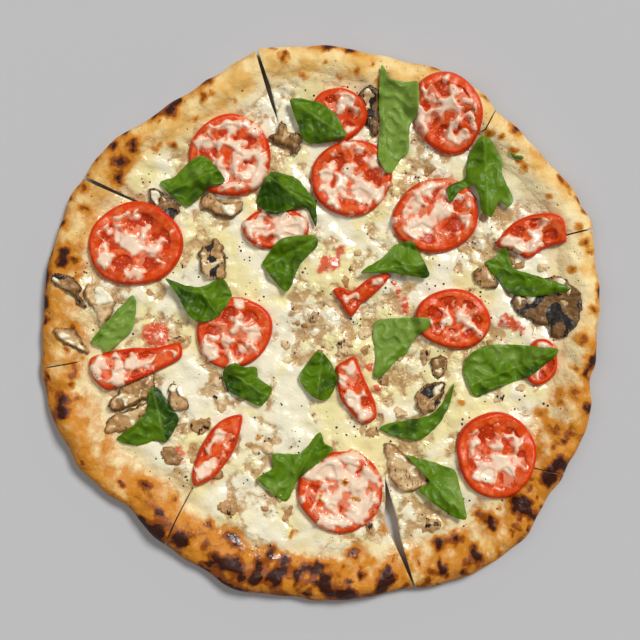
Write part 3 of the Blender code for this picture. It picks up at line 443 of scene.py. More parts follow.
def edge_radius(angle):
    """Distance from the hub to the pizza's edge in this direction."""
    return np.interp(angle, EDGE_ANGLES, EDGE_REACH, period=2 * math.pi)


def around(x, y):
    """Direction and distance of each point from the hub."""
    dx, dy = x - HUB[0], y - HUB[1]
    return np.arctan2(dy, dx), np.hypot(dx, dy)


def inset_of(x, y):
    """How far inside the pizza's edge each point lies, measured towards the hub."""
    angle, reach = around(x, y)
    return edge_radius(angle) - reach


def rim_relief(x, y, inset):
    """Bubbles and knobs that the dough's rim has risen into."""
    on_rim = smooth_step(inset, 0.3, 3) * (1 - smooth_step(inset, 18, 34))
    knobs = 0.8 * lumps(x, y, 9, 21) + 0.9 * blobs(x, y, 13, 22, 0.5) + 0.3 * lumps(x, y, 3.0, 23)
    return on_rim * (knobs + 1.1 * np.clip(spots(x, y), 0, 1))


def spots(x, y):
    """How strongly each place belongs to a browned blister."""
    total = np.zeros_like(np.asarray(x, float))
    x, y = wavered(x, y, 1.7, 5, 45)
    for cx, cy, length, width, depth in SCORCHED:
        turn = math.atan2(cy - HUB[1], cx - HUB[0])
        dx, dy = x - cx, y - cy
        near = np.nonzero(dx * dx + dy * dy < (4 * max(length, width)) ** 2)
        out, side = turned_back(dx[near], dy[near], turn)
        away = (out / length) ** 2 + (side / width) ** 2
        total[near] += depth * (np.exp(-away) + 0.3 * np.exp(-0.3 * away))
    return total


def dough_top(x, y):
    """Height of the baked dough: a flat base that swells into an uneven, rounded rim."""
    inset = np.clip(inset_of(x, y), 0, None)
    crest = RIM_HEIGHT + RIM_UNEVENNESS * swell(x, y, 55, seed=3)
    outer = np.sqrt(np.clip(1 - ((CREST_INSET - inset) / CREST_INSET) ** 2, 0, 1))
    outside = EDGE_HEIGHT + (crest - EDGE_HEIGHT) * outer
    inside = crest + (BASE_THICKNESS - crest) * smooth_step(inset, CREST_INSET, RIM_WIDTH)
    return np.where(inset < CREST_INSET, outside, inside) + rim_relief(x, y, inset)


def dough_bottom(x, y):
    """The underside: flat on the table, and lifting off it just inside the edge."""
    lift = np.clip(1 - inset_of(x, y) / UNDERCUT, 0, 1)
    return (EDGE_HEIGHT - EDGE_LIP) * lift**2


def cut_side(index, radius, side, parted_from=0.0):
    """Direction of one side of a cut at this distance from the hub: side -1 is clockwise of it."""
    points = np.array(CUTS[index % len(CUTS)][0], float)
    offsets = points[:, :2] - HUB
    reach = np.hypot(*offsets.T)
    turns = np.unwrap(np.arctan2(offsets[:, 1], offsets[:, 0])) % (2 * math.pi)
    open_here = smooth_step(radius, parted_from - 1, parted_from + 12)
    gape = np.interp(radius, reach, points[:, 2]) * open_here
    turn = np.interp(radius, reach, turns) + (2 * math.pi if index >= len(CUTS) else 0)
    return turn + side * gape / 2 / np.maximum(radius, TIP_RADIUS)


def slice_width(index):
    """The angle between the two cuts that bound a slice."""
    return cut_side(index + 1, PROBE, -1)[0] - cut_side(index, PROBE, 1)[0]


def slice_points(index, share, reach_of, parted=(0.0, 0.0)):
    """x and y at these shares of a slice's width; reach_of turns directions into distances."""
    radius = np.full_like(share, PROBE[0])
    for _ in range(4):
        low = cut_side(index, radius, 1, parted[0])
        high = cut_side(index + 1, radius, -1, parted[1])
        angle = low + (high - low) * share
        radius = reach_of(angle)
    return HUB[0] + radius * np.cos(angle), HUB[1] + radius * np.sin(angle)


def cheese_reach(angle):
    """Distance from the hub to the edge of the cheese."""
    middles = []
    for index in range(len(CUTS)):
        low, high = (cut_side(index + i, PROBE, 0)[0] for i in (0, 1))
        middles.append((low + high) / 2 % (2 * math.pi))
    order = np.argsort(middles)
    margin = np.interp(
        angle % (2 * math.pi),
        np.array(middles)[order],
        np.array(CHEESE_MARGINS, float)[order],
        period=2 * math.pi,
    )
    return edge_radius(angle) - margin - 2.5 * np.sin(angle * 17) * np.sin(angle * 7 + 2)


def cheese_inset(x, y):
    """How far inside the edge of the cheese each point lies."""
    angle, reach = around(x, y)
    return cheese_reach(angle) - reach


# Outlines and flat meshes


def rounded(outline, spacing, softness=1.0):
    """A smooth closed curve through the points of an outline, evenly stepped."""
    outline = np.array(outline, float)
    count = len(outline)
    curve = []
    for i in range(count):
        a, b, c, d = (outline[(i + k) % count] for k in (-1, 0, 1, 2))
        steps = max(2, int(np.linalg.norm(c - b) / spacing))
        t = np.linspace(0, 1, steps, endpoint=False)[:, None]
        tangent_b, tangent_c = (c - a) * 0.5 * softness, (d - b) * 0.5 * softness
        limit = np.linalg.norm(c - b) * 1.2
        tangent_b *= min(1, limit / (np.linalg.norm(tangent_b) + 1e-9))
        tangent_c *= min(1, limit / (np.linalg.norm(tangent_c) + 1e-9))
        curve.append(
            b * (2 * t**3 - 3 * t**2 + 1)
            + tangent_b * (t**3 - 2 * t**2 + t)
            + c * (3 * t**2 - 2 * t**3)
            + tangent_c * (t**3 - t**2)
        )
    return np.vstack(curve)


def ragged(outline, amount, size, seed):
    """The same outline with small random bays and points."""
    return np.column_stack(wavered(*outline.T, amount, size, seed))


def oval(middle, half_length, half_width, turn, count, seed):
    """A slightly uneven oval, as a closed outline."""
    draw = np.random.default_rng(seed)
    turns = np.linspace(0, 2 * math.pi, count, endpoint=False)
    uneven = 1 + 0.02 * np.sin(3 * turns + draw.uniform(0, 6)) + 0.012 * np.sin(5 * turns + seed)
    x, y = half_length * np.cos(turns) * uneven, half_width * np.sin(turns) * uneven
    turn = math.radians(turn)
    return np.column_stack([
        middle[0] + x * math.cos(turn) - y * math.sin(turn),
        middle[1] + x * math.sin(turn) + y * math.cos(turn),
    ])  # fmt: skip


def inside(outline, x, y):
    """Whether each point lies inside a closed outline."""
    odd = np.zeros(np.shape(x), bool)
    for (ax, ay), (bx, by) in zip(outline, np.roll(outline, 1, axis=0)):
        crosses = (ay > y) != (by > y)
        if ay != by:
            odd ^= crosses & (x < (bx - ax) * (y - ay) / (by - ay) + ax)
    return odd


def distance_to(outline, x, y):
    """Distance from each point to the nearest side of a closed outline."""
    best = np.full(np.shape(x), np.inf)
    for a, b in zip(outline, np.roll(outline, 1, axis=0)):
        side = b - a
        share = ((x - a[0]) * side[0] + (y - a[1]) * side[1]) / (side @ side + 1e-12)
        share = np.clip(share, 0, 1)
        reach = (x - a[0] - share * side[0]) ** 2 + (y - a[1] - share * side[1]) ** 2
        best = np.minimum(best, reach)
    return np.sqrt(best)


def depth_in(outline, x, y):
    """Distance to an outline, positive inside it and negative outside."""
    return np.where(inside(outline, x, y), 1, -1) * distance_to(outline, x, y)


def even_grid(low, high, spacing):
    """Points in staggered rows between two corners."""
    down = np.arange(low[1], high[1] + spacing, spacing * math.sqrt(0.75))
    across = np.arange(low[0], high[0] + spacing, spacing)
    x, y = np.meshgrid(across, down)
    x = x + (np.arange(len(down)) % 2)[:, None] * spacing / 2
    return x.ravel(), y.ravel()


def sheet_within(outline, spacing):
    """A flat mesh that fills an outline: its own points, and others spaced evenly inside."""
    area = np.sum(outline[:, 0] * np.roll(outline[:, 1], -1) - np.roll(outline[:, 0], -1) * outline[:, 1])
    if area < 0:
        outline = outline[::-1]
    x, y = even_grid(outline.min(axis=0), outline.max(axis=0), spacing)
    kept = inside(outline, x, y)
    x, y = x[kept], y[kept]
    kept = distance_to(outline, x, y) > spacing * 0.45
    points = np.vstack([outline, np.column_stack([x, y])[kept]])
    edges = [(i, (i + 1) % len(outline)) for i in range(len(outline))]
    flat = [Vector(p) for p in points.tolist()]
    found, _, faces, *_ = delaunay_2d_cdt(flat, edges, [], 1, 1e-6)
    return np.array(found), np.array([face[:3] for face in faces])


def boundary(faces):
    """The edges that only one face uses, in that face's direction."""
    edges = np.vstack([faces[:, [0, 1]], faces[:, [1, 2]], faces[:, [2, 0]]])
    keys = {tuple(edge) for edge in edges.tolist()}
    return np.array([edge for edge in edges.tolist() if (edge[1], edge[0]) not in keys])


def slab_mesh(name, points, faces, bottom, top):
    """A closed mesh between two heights over one flat mesh of triangles."""
    count = len(points)
    vertices = np.vstack([np.column_stack([points, bottom]), np.column_stack([points, top])]) * MM
    rim = boundary(faces)
    a, b = rim.T
    sides = np.vstack([np.column_stack([a, b, b + count]), np.column_stack([a, b + count, a + count])])
    return filled_mesh(name, vertices, np.vstack([faces + count, faces[:, ::-1], sides]))


def filled_mesh(name, vertices, faces):
    """A mesh from arrays of vertices and triangles, shaded smooth."""
    mesh = bpy.data.meshes.new(name)
    mesh.vertices.add(len(vertices))
    mesh.vertices.foreach_set("co", np.asarray(vertices, np.float32).ravel())
    mesh.loops.add(faces.size)
    mesh.loops.foreach_set("vertex_index", faces.astype(np.int32).ravel())
    mesh.polygons.add(len(faces))
    mesh.polygons.foreach_set("loop_start", np.arange(0, faces.size, 3, dtype=np.int32))
    mesh.update(calc_edges=True)
    mesh.shade_smooth()
    return mesh


def joined_mesh(name, sheets):
    """One mesh from several sheets, each given as points, triangles and heights; its vertices."""
    vertices = np.vstack([np.column_stack([points, height]) for points, _, height in sheets])
    starts = np.cumsum([0] + [len(points) for points, _, _ in sheets])
    faces = np.vstack([faces + start for (_, faces, _), start in zip(sheets, starts)])
    return filled_mesh(name, vertices * MM, faces), vertices


def paint(mesh, name, values):
    """Stores one number for each vertex, for the materials to read."""
    layer = mesh.attributes.new(name, "FLOAT", "POINT")
    layer.data.foreach_set("value", np.asarray(values, np.float32))


def both(values):
    """The same numbers for the lower and the upper face of a slab."""
    return np.concatenate([values, values])


def add_piece(name, mesh, material, slot, *replaced, sharp=50):
    """Links a piece into the scene, in the place of the solids that it stands for."""
    if sharp:
        mesh.set_sharp_from_angle(angle=math.radians(sharp))
    mesh.materials.append(material)
    piece = bpy.data.objects.new(name, mesh)
    bpy.context.scene.collection.objects.link(piece)
    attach(piece, "root")
    if replaced:
        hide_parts(*replaced)


# What has been laid so far


class Bed:
    """The height of what is already laid, in small square cells."""

    cell = 0.6
    half = 192.0

    def __init__(self):
        axis = np.arange(-self.half, self.half, self.cell)
        self.x, self.y = np.meshgrid(axis, axis)
        self.heights = np.zeros_like(self.x)

    def window(self, outline, margin=3.0):
        """The block of cells round an outline."""
        low, high = outline.min(axis=0) - margin, outline.max(axis=0) + margin
        first = np.clip(((low + self.half) / self.cell).astype(int), 0, len(self.x) - 2)
        last = np.clip(((high + self.half) / self.cell).astype(int) + 2, 2, len(self.x))
        return slice(first[1], last[1]), slice(first[0], last[0])

    def read(self, heights, block, x, y):
        """Heights at any points, from a block of cells."""
        u = (x + self.half) / self.cell - block[1].start
        v = (y + self.half) / self.cell - block[0].start
        i = np.clip(u.astype(int), 0, heights.shape[1] - 2)
        j = np.clip(v.astype(int), 0, heights.shape[0] - 2)
        fu, fv = np.clip(u - i, 0, 1), np.clip(v - j, 0, 1)
        near = heights[j, i] * (1 - fu) + heights[j, i + 1] * fu
        far = heights[j + 1, i] * (1 - fu) + heights[j + 1, i + 1] * fu
        return near * (1 - fv) + far * fv

    def at(self, x, y):
        """Height of the bed at any points."""
        whole = (slice(0, len(self.x)), slice(0, len(self.x)))
        return self.read(self.heights, whole, x, y)


def blurred(heights, rounds):
    """Heights evened out with their neighbours."""
    for _ in range(rounds):
        padded = np.pad(heights, 1, mode="edge")
        heights = (
            padded[1:-1, 1:-1] * 2
            + padded[:-2, 1:-1]
            + padded[2:, 1:-1]
            + padded[1:-1, :-2]
            + padded[1:-1, 2:]
        ) / 6
    return heights


def stretched(heights, drop, rounds):
    """Heights under a sheet too stiff to fall by more than drop from one cell to the next."""
    for _ in range(rounds):
        for axis in (0, 1):
            for shift in (-1, 1):
                moved = np.roll(heights, shift, axis) - drop
                edge = [slice(None), slice(None)]
                edge[axis] = 0 if shift == 1 else -1
                moved[tuple(edge)] = NOWHERE
                heights = np.maximum(heights, moved)
    return heights


def drape(bed, outline, stiffness, thickness, shape=None, softness=6):
    """Lays a sheet on the bed. stiffness is its steepest fall, thickness turns x, y and the
    distance from its edge into a thickness, and shape is the form that it holds by itself.
    Returns a function that gives the height of its lower face."""
    block = bed.window(outline)
    x, y = bed.x[block], bed.y[block]
    below = bed.heights[block]
    depth = depth_in(outline, x, y)
    held = np.where(depth > -0.4, below, NOWHERE)
    reach = int(min(max(x.shape), 24))
    rest = stretched(held, stiffness * bed.cell, reach)
    rest = np.where(rest < NOWHERE / 2, below.min(), rest)
    rest = np.maximum(blurred(rest, softness), held)
    rest = blurred(rest, 2) + GAP
    if shape is not None:
        own = rest[depth > 0].min() + shape(x, y)
        rest = np.maximum(rest, own)
    top = rest + thickness(x, y, depth)
    bed.heights[block] = np.where(depth > 0, np.maximum(below, top), below)
    return lambda px, py: bed.read(rest, block, px, py)


# Materials


def srgb(red, green, blue):
    """A colour given as it looks on a screen, 0 to 255, turned into linear light."""
    values = []
    for level in (red, green, blue):
        level /= 255
        values.append(level / 12.92 if level <= 0.04045 else ((level + 0.055) / 1.055) ** 2.4)
    return (*values, 1.0)


class Shading:
    """Adds nodes to a material or a node group, and joins them."""

    def __init__(self, tree):
        self.tree = tree
        self.column = 0

    def add(self, kind, settings=None, **inputs):
        node = self.tree.nodes.new(kind)
        self.column += 1
        node.location = (self.column % 9 * 220 - 1800, -(self.column // 9) * 260)
        for name, value in (settings or {}).items():
            setattr(node, name, value)
        for name, value in inputs.items():
            self.feed(node.inputs[name.replace("_", " ")], value)
        return node

    def feed(self, socket, value):
        if hasattr(value, "is_output"):
            self.tree.links.new(value, socket)
        else:
            socket.default_value = value

    def mix(self, factor, first, second):
        node = self.add("ShaderNodeMix", {"data_type": "RGBA"})
        for index, value in ((0, factor), (6, first), (7, second)):
            self.feed(node.inputs[index], value)
        return node.outputs[2]

    def calc(self, way, first, second=0.0, third=0.0):
        node = self.add("ShaderNodeMath", {"operation": way})
        for index, value in enumerate((first, second, third)):
            self.feed(node.inputs[index], value)
        return node.outputs[0]

    def step(self, value, low, high):
        node = self.add("ShaderNodeMapRange", {"interpolation_type": "SMOOTHSTEP"})
        for name, given in (("Value", value), ("From Min", low), ("From Max", high)):
            self.feed(node.inputs[name], given)
        return node.outputs[0]

    def painted(self, name):
        return self.add("ShaderNodeAttribute", {"attribute_name": name}).outputs["Fac"]

    def place(self):
        return self.add("ShaderNodeTexCoord").outputs["Object"]

    def noise(self, size, detail, roughness=0.55):
        """Cloudy noise with features of this size in millimetres."""
        node = self.add(
            "ShaderNodeTexNoise", Scale=1000.0 / size, Detail=detail, Roughness=roughness
        )
        self.feed(node.inputs["Vector"], self.place())
        return node.outputs["Fac"]

    def uneven(self, size, detail, roughness=0.55):
        """The same noise, lowered so that it is about 0 on average."""
        return self.calc("SUBTRACT", self.noise(size, detail, roughness), 0.5)

    def cells(self, size, feature="F1"):
        """Distance to scattered points or to their borders, this far apart in millimetres."""
        node = self.add("ShaderNodeTexVoronoi", {"feature": feature}, Scale=1000.0 / size)
        self.feed(node.inputs["Vector"], self.place())
        return node.outputs["Distance"]

    def stripes(self, period):
        """Wavy stripes, this far apart in millimetres."""
        node = self.add("ShaderNodeTexWave", Scale=math.pi * 100 / period, Distortion=3.0)
        self.feed(node.inputs["Vector"], self.place())
        return node.outputs["Fac"]

    def group(self, tree, **inputs):
        node = self.add("ShaderNodeGroup")
        node.node_tree = tree
        for name, value in inputs.items():
            self.feed(node.inputs[name.replace("_", " ")], value)
        return node

    def bump(self, height, depth, strength):
        """A surface normal from a height, this deep in millimetres."""
        node = self.add("ShaderNodeBump", Strength=strength, Distance=depth * MM, Height=height)
        return node.outputs["Normal"]


def new_group(name, inputs, outputs):
    """An empty node group with these inputs and outputs, all of them numbers."""
    tree = bpy.data.node_groups.new(name, "ShaderNodeTree")
    for label, value in inputs.items():
        socket = tree.interface.new_socket(label, in_out="INPUT", socket_type="NodeSocketFloat")
        socket.default_value = value
    for label in outputs:
        tree.interface.new_socket(label, in_out="OUTPUT", socket_type="NodeSocketFloat")
    shading = Shading(tree)
    return tree, shading, shading.add("NodeGroupInput").outputs, shading.add("NodeGroupOutput")


def group_named(name, build):
    """A node group, made the first time that a material asks for it."""
    return bpy.data.node_groups.get(name) or build(name)


def pepper_group(name):
    """Fine dark flecks of ground pepper, strewn over the dough, the cheese and the mushrooms."""
    tree, shading, given, result = new_group(name, {"Amount": 0.5}, ["Flecks"])
    grains = shading.cells(3.4)
    size = shading.calc("MULTIPLY", shading.step(shading.noise(12, 2), 0.4, 0.7), 0.25)
    size = shading.calc("MULTIPLY", size, given["Amount"])
    shading.feed(result.inputs["Flecks"], shading.calc("LESS_THAN", grains, size))
    return tree


def browning_group(name):
    """Where heat has browned a surface: Toasted is broad and soft, Charred small and dark."""
    tree, shading, given, result = new_group(name, {"Heat": 0.0}, ["Toasted", "Deep", "Charred"])
    cloud = shading.calc("MULTIPLY", shading.noise(9, 3, 0.5), 0.6)
    uneven = shading.calc("MULTIPLY_ADD", shading.noise(2.6, 3, 0.6), 0.35, cloud)
    level = shading.calc("ADD", given["Heat"], shading.calc("SUBTRACT", uneven, 0.475))
    shading.feed(result.inputs["Toasted"], shading.step(level, 0.12, 0.52))
    shading.feed(result.inputs["Deep"], shading.step(level, 0.56, 0.82))
    shading.feed(result.inputs["Charred"], shading.step(level, 0.86, 1.1))
    return tree


def browned(shading, colour, look):
    """A colour, with the browning that the heat painted on the piece gives it."""
    heat = shading.painted("baked")
    brown = shading.group(group_named("browning", browning_group), Heat=heat)
    tones = (look.dough_toasted, look.dough_browned, look.charred)
    for name, tone in zip(("Toasted", "Deep", "Charred"), tones):
        colour = shading.mix(brown.outputs[name], colour, tone)
    return colour


def peppered(shading, colour, amount, look):
    """A colour, with flecks of pepper."""
    pepper = shading.group(group_named("pepper", pepper_group), Amount=amount)
    return shading.mix(pepper.outputs["Flecks"], colour, look.pepper)


def new_material(name, roughness, specular, coat=0.0, subsurface=0.0):
    """A material and its shader, with the values that are the same all over it."""
    material = bpy.data.materials.new(name)
    material.use_nodes = True
    shading = Shading(material.node_tree)
    shader = material.node_tree.nodes["Principled BSDF"]
    shader.inputs["Roughness"].default_value = roughness
    shader.inputs["Specular IOR Level"].default_value = specular
    shader.inputs["Coat Weight"].default_value = coat
    shader.inputs["Coat Roughness"].default_value = 0.12
    shader.inputs["Subsurface Weight"].default_value = subsurface
    shader.inputs["Subsurface Radius"].default_value = (1.0, 0.5, 0.25)
    shader.inputs["Subsurface Scale"].default_value = 0.002
    return material, shading, shader


def filmed_dough(shading, look):
    """The colour of dough where the heat hasn't browned it, under a thin film of cheese."""
    clouds = shading.step(shading.noise(16, 3), 0.35, 0.65)
    colour = shading.mix(clouds, look.dough_pale, look.dough_golden)
    creamy = shading.mix(shading.noise(9, 3), look.cheese_yellow, look.cheese_cream)
    return shading.mix(shading.calc("MULTIPLY", shading.painted("film"), 0.6), colour, creamy)


def dough_material(look):
    """Baked dough: pale and floury, toasted in patches, and charred on its blisters."""
    material, shading, shader = new_material("baked dough", 0.55, 0.22)
    colour = filmed_dough(shading, look)
    colour = browned(shading, colour, look)
    colour = peppered(shading, colour, 0.6, look)
    shading.feed(shader.inputs["Base Color"], colour)
    shine = shading.calc("MULTIPLY_ADD", shading.painted("oil"), -0.36, 0.62)
    shading.feed(shader.inputs["Roughness"], shine)
    coarse = shading.calc("MULTIPLY", shading.noise(5, 3), 2.0)
    fine = shading.calc("ADD", shading.noise(1.4, 4, 0.65), coarse)
    shading.feed(shader.inputs["Normal"], shading.bump(fine, 0.6, 0.8))
    return material


def crumb_material(look):
    """The cut face of the dough, with its small air holes."""
    material, shading, shader = new_material("crumb", 0.8, 0.2)
    holes = shading.step(shading.cells(2.2), 0.12, 0.42)
    colour = shading.mix(holes, look.crumb_hole, look.crumb)
    colour = shading.mix(shading.step(shading.noise(6, 2), 0.5, 0.75), colour, look.dough_golden)
    shading.feed(shader.inputs["Base Color"], colour)
    shading.feed(shader.inputs["Normal"], shading.bump(holes, 0.8, 0.9))
    return material


def cheese_material(look):
    """Melted cheese: creamy pools, rougher milky cheese between them with painted shade in the
    dips between its lumps, tomato that shows red through it, and browned blisters."""
    material, shading, shader = new_material("melted cheese", 0.32, 0.5, 0.35, 0.1)
    pool = shading.calc("ADD", shading.painted("pool"), shading.uneven(4, 3))
    pool = shading.step(pool, 0.25, 0.75)
    fatty = shading.step(shading.noise(30, 3), 0.42, 0.6)
    creamy = shading.mix(fatty, look.cheese_cream, look.cheese_yellow)
    # The dips between the lumps of the rougher cheese take the milky and tan tones: partly the cheese's own
    # tone, and partly painted shade in the dips.
    lumpy = shading.calc("MULTIPLY_ADD", shading.noise(3.5, 4), 1.6, shading.painted("lump"))
    dip_tone_and_shade = shading.mix(shading.noise(7, 4), look.cheese_milky, look.cheese_tan_and_shade)
    rough = shading.mix(shading.step(lumpy, 0.75, 1.35), dip_tone_and_shade, creamy)
    colour = shading.mix(pool, rough, creamy)
    blotches = shading.step(shading.noise(3, 4), 0.45, 0.68)
    stain = shading.calc("MULTIPLY", shading.painted("stain"), blotches)
    colour = shading.mix(shading.calc("MULTIPLY", stain, 0.7), colour, look.mushroom_brown)
    uneven = shading.calc("MULTIPLY_ADD", shading.noise(3, 3), 0.8, -0.4)
    redness = shading.step(shading.calc("ADD", shading.painted("blush"), uneven), 0.25, 0.6)
    veiled = shading.step(shading.noise(5, 3), 0.52, 0.68)
    fleshy = shading.mix(veiled, look.tomato_flesh, look.cheese_pink)
    colour = shading.mix(shading.calc("MULTIPLY", redness, 0.9), colour, fleshy)
    colour = shading.mix(shading.painted("thin"), colour, filmed_dough(shading, look))
    colour = browned(shading, colour, look)
    colour = peppered(shading, colour, 1.0, look)
    shading.feed(shader.inputs["Base Color"], colour)
    shine = shading.calc("MULTIPLY_ADD", shading.step(shading.noise(8, 2), 0.4, 0.7), 0.22, 0.16)
    shading.feed(shader.inputs["Roughness"], shine)
    fine = shading.calc("MULTIPLY_ADD", shading.noise(6, 2), 2.5, shading.noise(2.2, 3))
    strength = shading.calc("MULTIPLY_ADD", pool, -0.5, 0.9)
    shading.feed(shader.inputs["Normal"], shading.bump(fine, 0.8, strength))
    return material


def run_cheese_material(look):
    """Cheese that has run over the toppings: thin, and pink where red shows through."""
    material, shading, shader = new_material("run cheese", 0.28, 0.45, 0.25, 0.12)
    thick = shading.calc("MULTIPLY_ADD", shading.noise(4, 2), 0.4, shading.painted("thick"))
    thin = shading.mix(shading.painted("pink"), look.cheese_milky, look.cheese_veil)
    rosy = shading.mix(shading.painted("pink"), look.cheese_cream, look.cheese_pink)
    colour = shading.mix(shading.step(thick, 0.2, 0.7), thin, rosy)
    colour = shading.mix(shading.step(thick, 0.95, 1.5), colour, look.cheese_cream)
    colour = browned(shading, colour, look)
    colour = peppered(shading, colour, 0.8, look)
    shading.feed(shader.inputs["Base Color"], colour)
    shading.feed(shader.inputs["Normal"], shading.bump(shading.noise(2.5, 3), 0.35, 0.5))
    return material


def tomato_material(look):
    """A slice of tomato: glossy skin, mealy flesh, and wet hollows with seeds."""
    material, shading, shader = new_material("tomato slice", 0.3, 0.22, 0.06)
    mealy = shading.step(shading.noise(4, 4), 0.42, 0.68)
    flesh = shading.mix(mealy, look.tomato_flesh, look.tomato_pale)
    seeds = shading.step(shading.cells(2.6), 0.3, 0.18)
    pulp = shading.mix(shading.noise(3, 3), look.tomato_pulp, look.tomato_flesh)
    pulp = shading.mix(seeds, pulp, look.tomato_seed)
    colour = shading.mix(shading.painted("hollow"), flesh, pulp)
    colour = shading.mix(shading.painted("skin"), colour, look.tomato_skin)
    shading.feed(shader.inputs["Base Color"], colour)
    shine = shading.calc("MULTIPLY_ADD", shading.noise(4, 2), 0.3, 0.14)
    shading.feed(shader.inputs["Roughness"], shine)
    bumpy = shading.calc("MULTIPLY", seeds, shading.painted("hollow"))
    fine = shading.calc("ADD", shading.noise(1.6, 3), bumpy)
    shading.feed(shader.inputs["Normal"], shading.bump(fine, 0.5, 0.7))
    return material


def mushroom_material(look):
    """Roasted mushroom: pale cut flesh, browned skin, and dark gills."""
    material, shading, shader = new_material("roasted mushroom", 0.42, 0.4, 0.1, 0.05)
    brown = shading.calc("ADD", shading.painted("brown"), shading.uneven(5, 5, 0.65))
    colour = shading.mix(shading.step(brown, 0.1, 0.5), look.mushroom_pale, look.mushroom_tan)
    colour = shading.mix(shading.step(brown, 0.45, 0.85), colour, look.mushroom_brown)
    ribs = shading.calc("MULTIPLY_ADD", shading.stripes(1.8), 0.25, -0.12)
    ragged_dark = shading.calc("ADD", ribs, shading.uneven(2.6, 4, 0.65))
    dark = shading.calc("ADD", shading.painted("dark"), ragged_dark)
    colour = shading.mix(shading.step(dark, 0.3, 0.55), colour, look.mushroom_gills)
    colour = peppered(shading, colour, 1.0, look)
    shading.feed(shader.inputs["Base Color"], colour)
    shading.feed(shader.inputs["Normal"], shading.bump(shading.noise(1.8, 4, 0.65), 0.7, 0.9))
    return material


def basil_material(look):
    """Fresh basil: bright and glossy, with faint veins, a paler underside, and painted light and shade
    across each leaf.
    """
    material, shading, shader = new_material("basil leaf", 0.36, 0.18)
    # The tone is painted light and shade: where it is low, a leaf takes the dark colour, which stands for
    # shade; where it is highest, it turns to the paler underside.
    tone = shading.calc("ADD", shading.painted("light"), shading.uneven(12, 3))
    colour = shading.mix(shading.step(tone, -0.1, 0.5), look.basil_dark, look.basil_bright)
    colour = shading.mix(shading.step(tone, 0.5, 1.0), colour, look.basil_underside)
    colour = shading.mix(shading.calc("MULTIPLY", shading.painted("vein"), 0.5), colour, look.basil_vein)
    shading.feed(shader.inputs["Base Color"], colour)
    net = shading.step(shading.cells(2.4, "DISTANCE_TO_EDGE"), 0.0, 0.22)
    shading.feed(shader.inputs["Normal"], shading.bump(net, 0.2, 0.4))
    return material


# Settings


def colour_setting(name, description, default):
    """A colour that a user can change."""
    return bpy.props.FloatVectorProperty(
        name=name, description=description, subtype="COLOR", size=4, min=0, max=1, default=default
    )


def size_setting(name, description, default, low, high):
    """A size in millimetres that a user can change."""
    return bpy.props.FloatProperty(
        name=name, description=description, default=default, min=low, max=high
    )


class PizzaColours(bpy.types.PropertyGroup):
    """The colours of the baked pizza."""

    dough_pale: colour_setting("Pale dough", "Dough that the heat has barely touched", srgb(242, 214, 152))
    dough_golden: colour_setting("Golden dough", "Evenly baked dough", srgb(224, 176, 94))
    dough_toasted: colour_setting("Toasted dough", "Dough with light brown patches", srgb(202, 128, 30))
    dough_browned: colour_setting("Browned dough", "Dough that has browned deeply", srgb(140, 68, 2))
    charred: colour_setting("Charred", "Blisters burnt almost black", srgb(54, 18, 2))
    crumb: colour_setting("Crumb", "The cut face of the dough", srgb(222, 196, 148))
    crumb_hole: colour_setting("Air holes", "The shaded holes in the crumb", srgb(140, 100, 56))
    cheese_cream: colour_setting("Cream cheese tone", "Most of the melted cheese", srgb(240, 232, 202))
    cheese_yellow: colour_setting("Yellow cheese tone", "The fattier pools of cheese", srgb(236, 222, 160))
    # The milky and the tan tones colour the dips between the lumps of the rougher cheese: partly its own
    # tone, and partly painted shade in the dips.
    cheese_milky: colour_setting("Milky cheese tone", "Wet places in the cheese", srgb(210, 178, 126))
    cheese_tan_and_shade: colour_setting("Tan cheese", "Cheese stained by what it covers", srgb(174, 124, 60))
    cheese_pink: colour_setting("Pink cheese", "Cheese over tomato", srgb(242, 196, 168))
    cheese_veil: colour_setting("Cheese veil", "The thinnest cheese over tomato", srgb(226, 124, 84))
    tomato_skin: colour_setting("Tomato skin", "The rim of a tomato slice", srgb(210, 46, 0))
    tomato_flesh: colour_setting("Tomato flesh", "The firm part of a tomato slice", srgb(212, 66, 2))
    tomato_pale: colour_setting("Pale tomato flesh", "The mealy part of the flesh", srgb(222, 104, 50))
    tomato_pulp: colour_setting("Tomato pulp", "The wet hollows of a tomato slice", srgb(140, 20, 4))
    tomato_seed: colour_setting("Tomato seeds", "The seeds in the pulp", srgb(214, 112, 52))
    mushroom_pale: colour_setting("Mushroom flesh", "The cut face of a mushroom", srgb(222, 194, 148))
    mushroom_tan: colour_setting("Tan mushroom", "The lightly roasted parts", srgb(186, 140, 84))
    mushroom_brown: colour_setting("Roasted mushroom", "The browned parts of a mushroom", srgb(116, 80, 34))
    mushroom_gills: colour_setting("Gills", "Gills and burnt edges", srgb(26, 18, 14))
    basil_dark: colour_setting("Dark basil", "The shaded parts of a leaf", srgb(36, 64, 0))
    basil_bright: colour_setting("Bright basil", "The upper face of a leaf", srgb(84, 118, 2))
    basil_underside: colour_setting("Basil underside", "The paler face of a leaf", srgb(118, 146, 58))
    basil_vein: colour_setting("Basil veins", "Midrib and veins", srgb(126, 158, 56))
    pepper: colour_setting("Pepper", "Flecks of ground pepper", srgb(50, 36, 26))
    floor: colour_setting("Floor", "The plain floor", srgb(186, 186, 188))


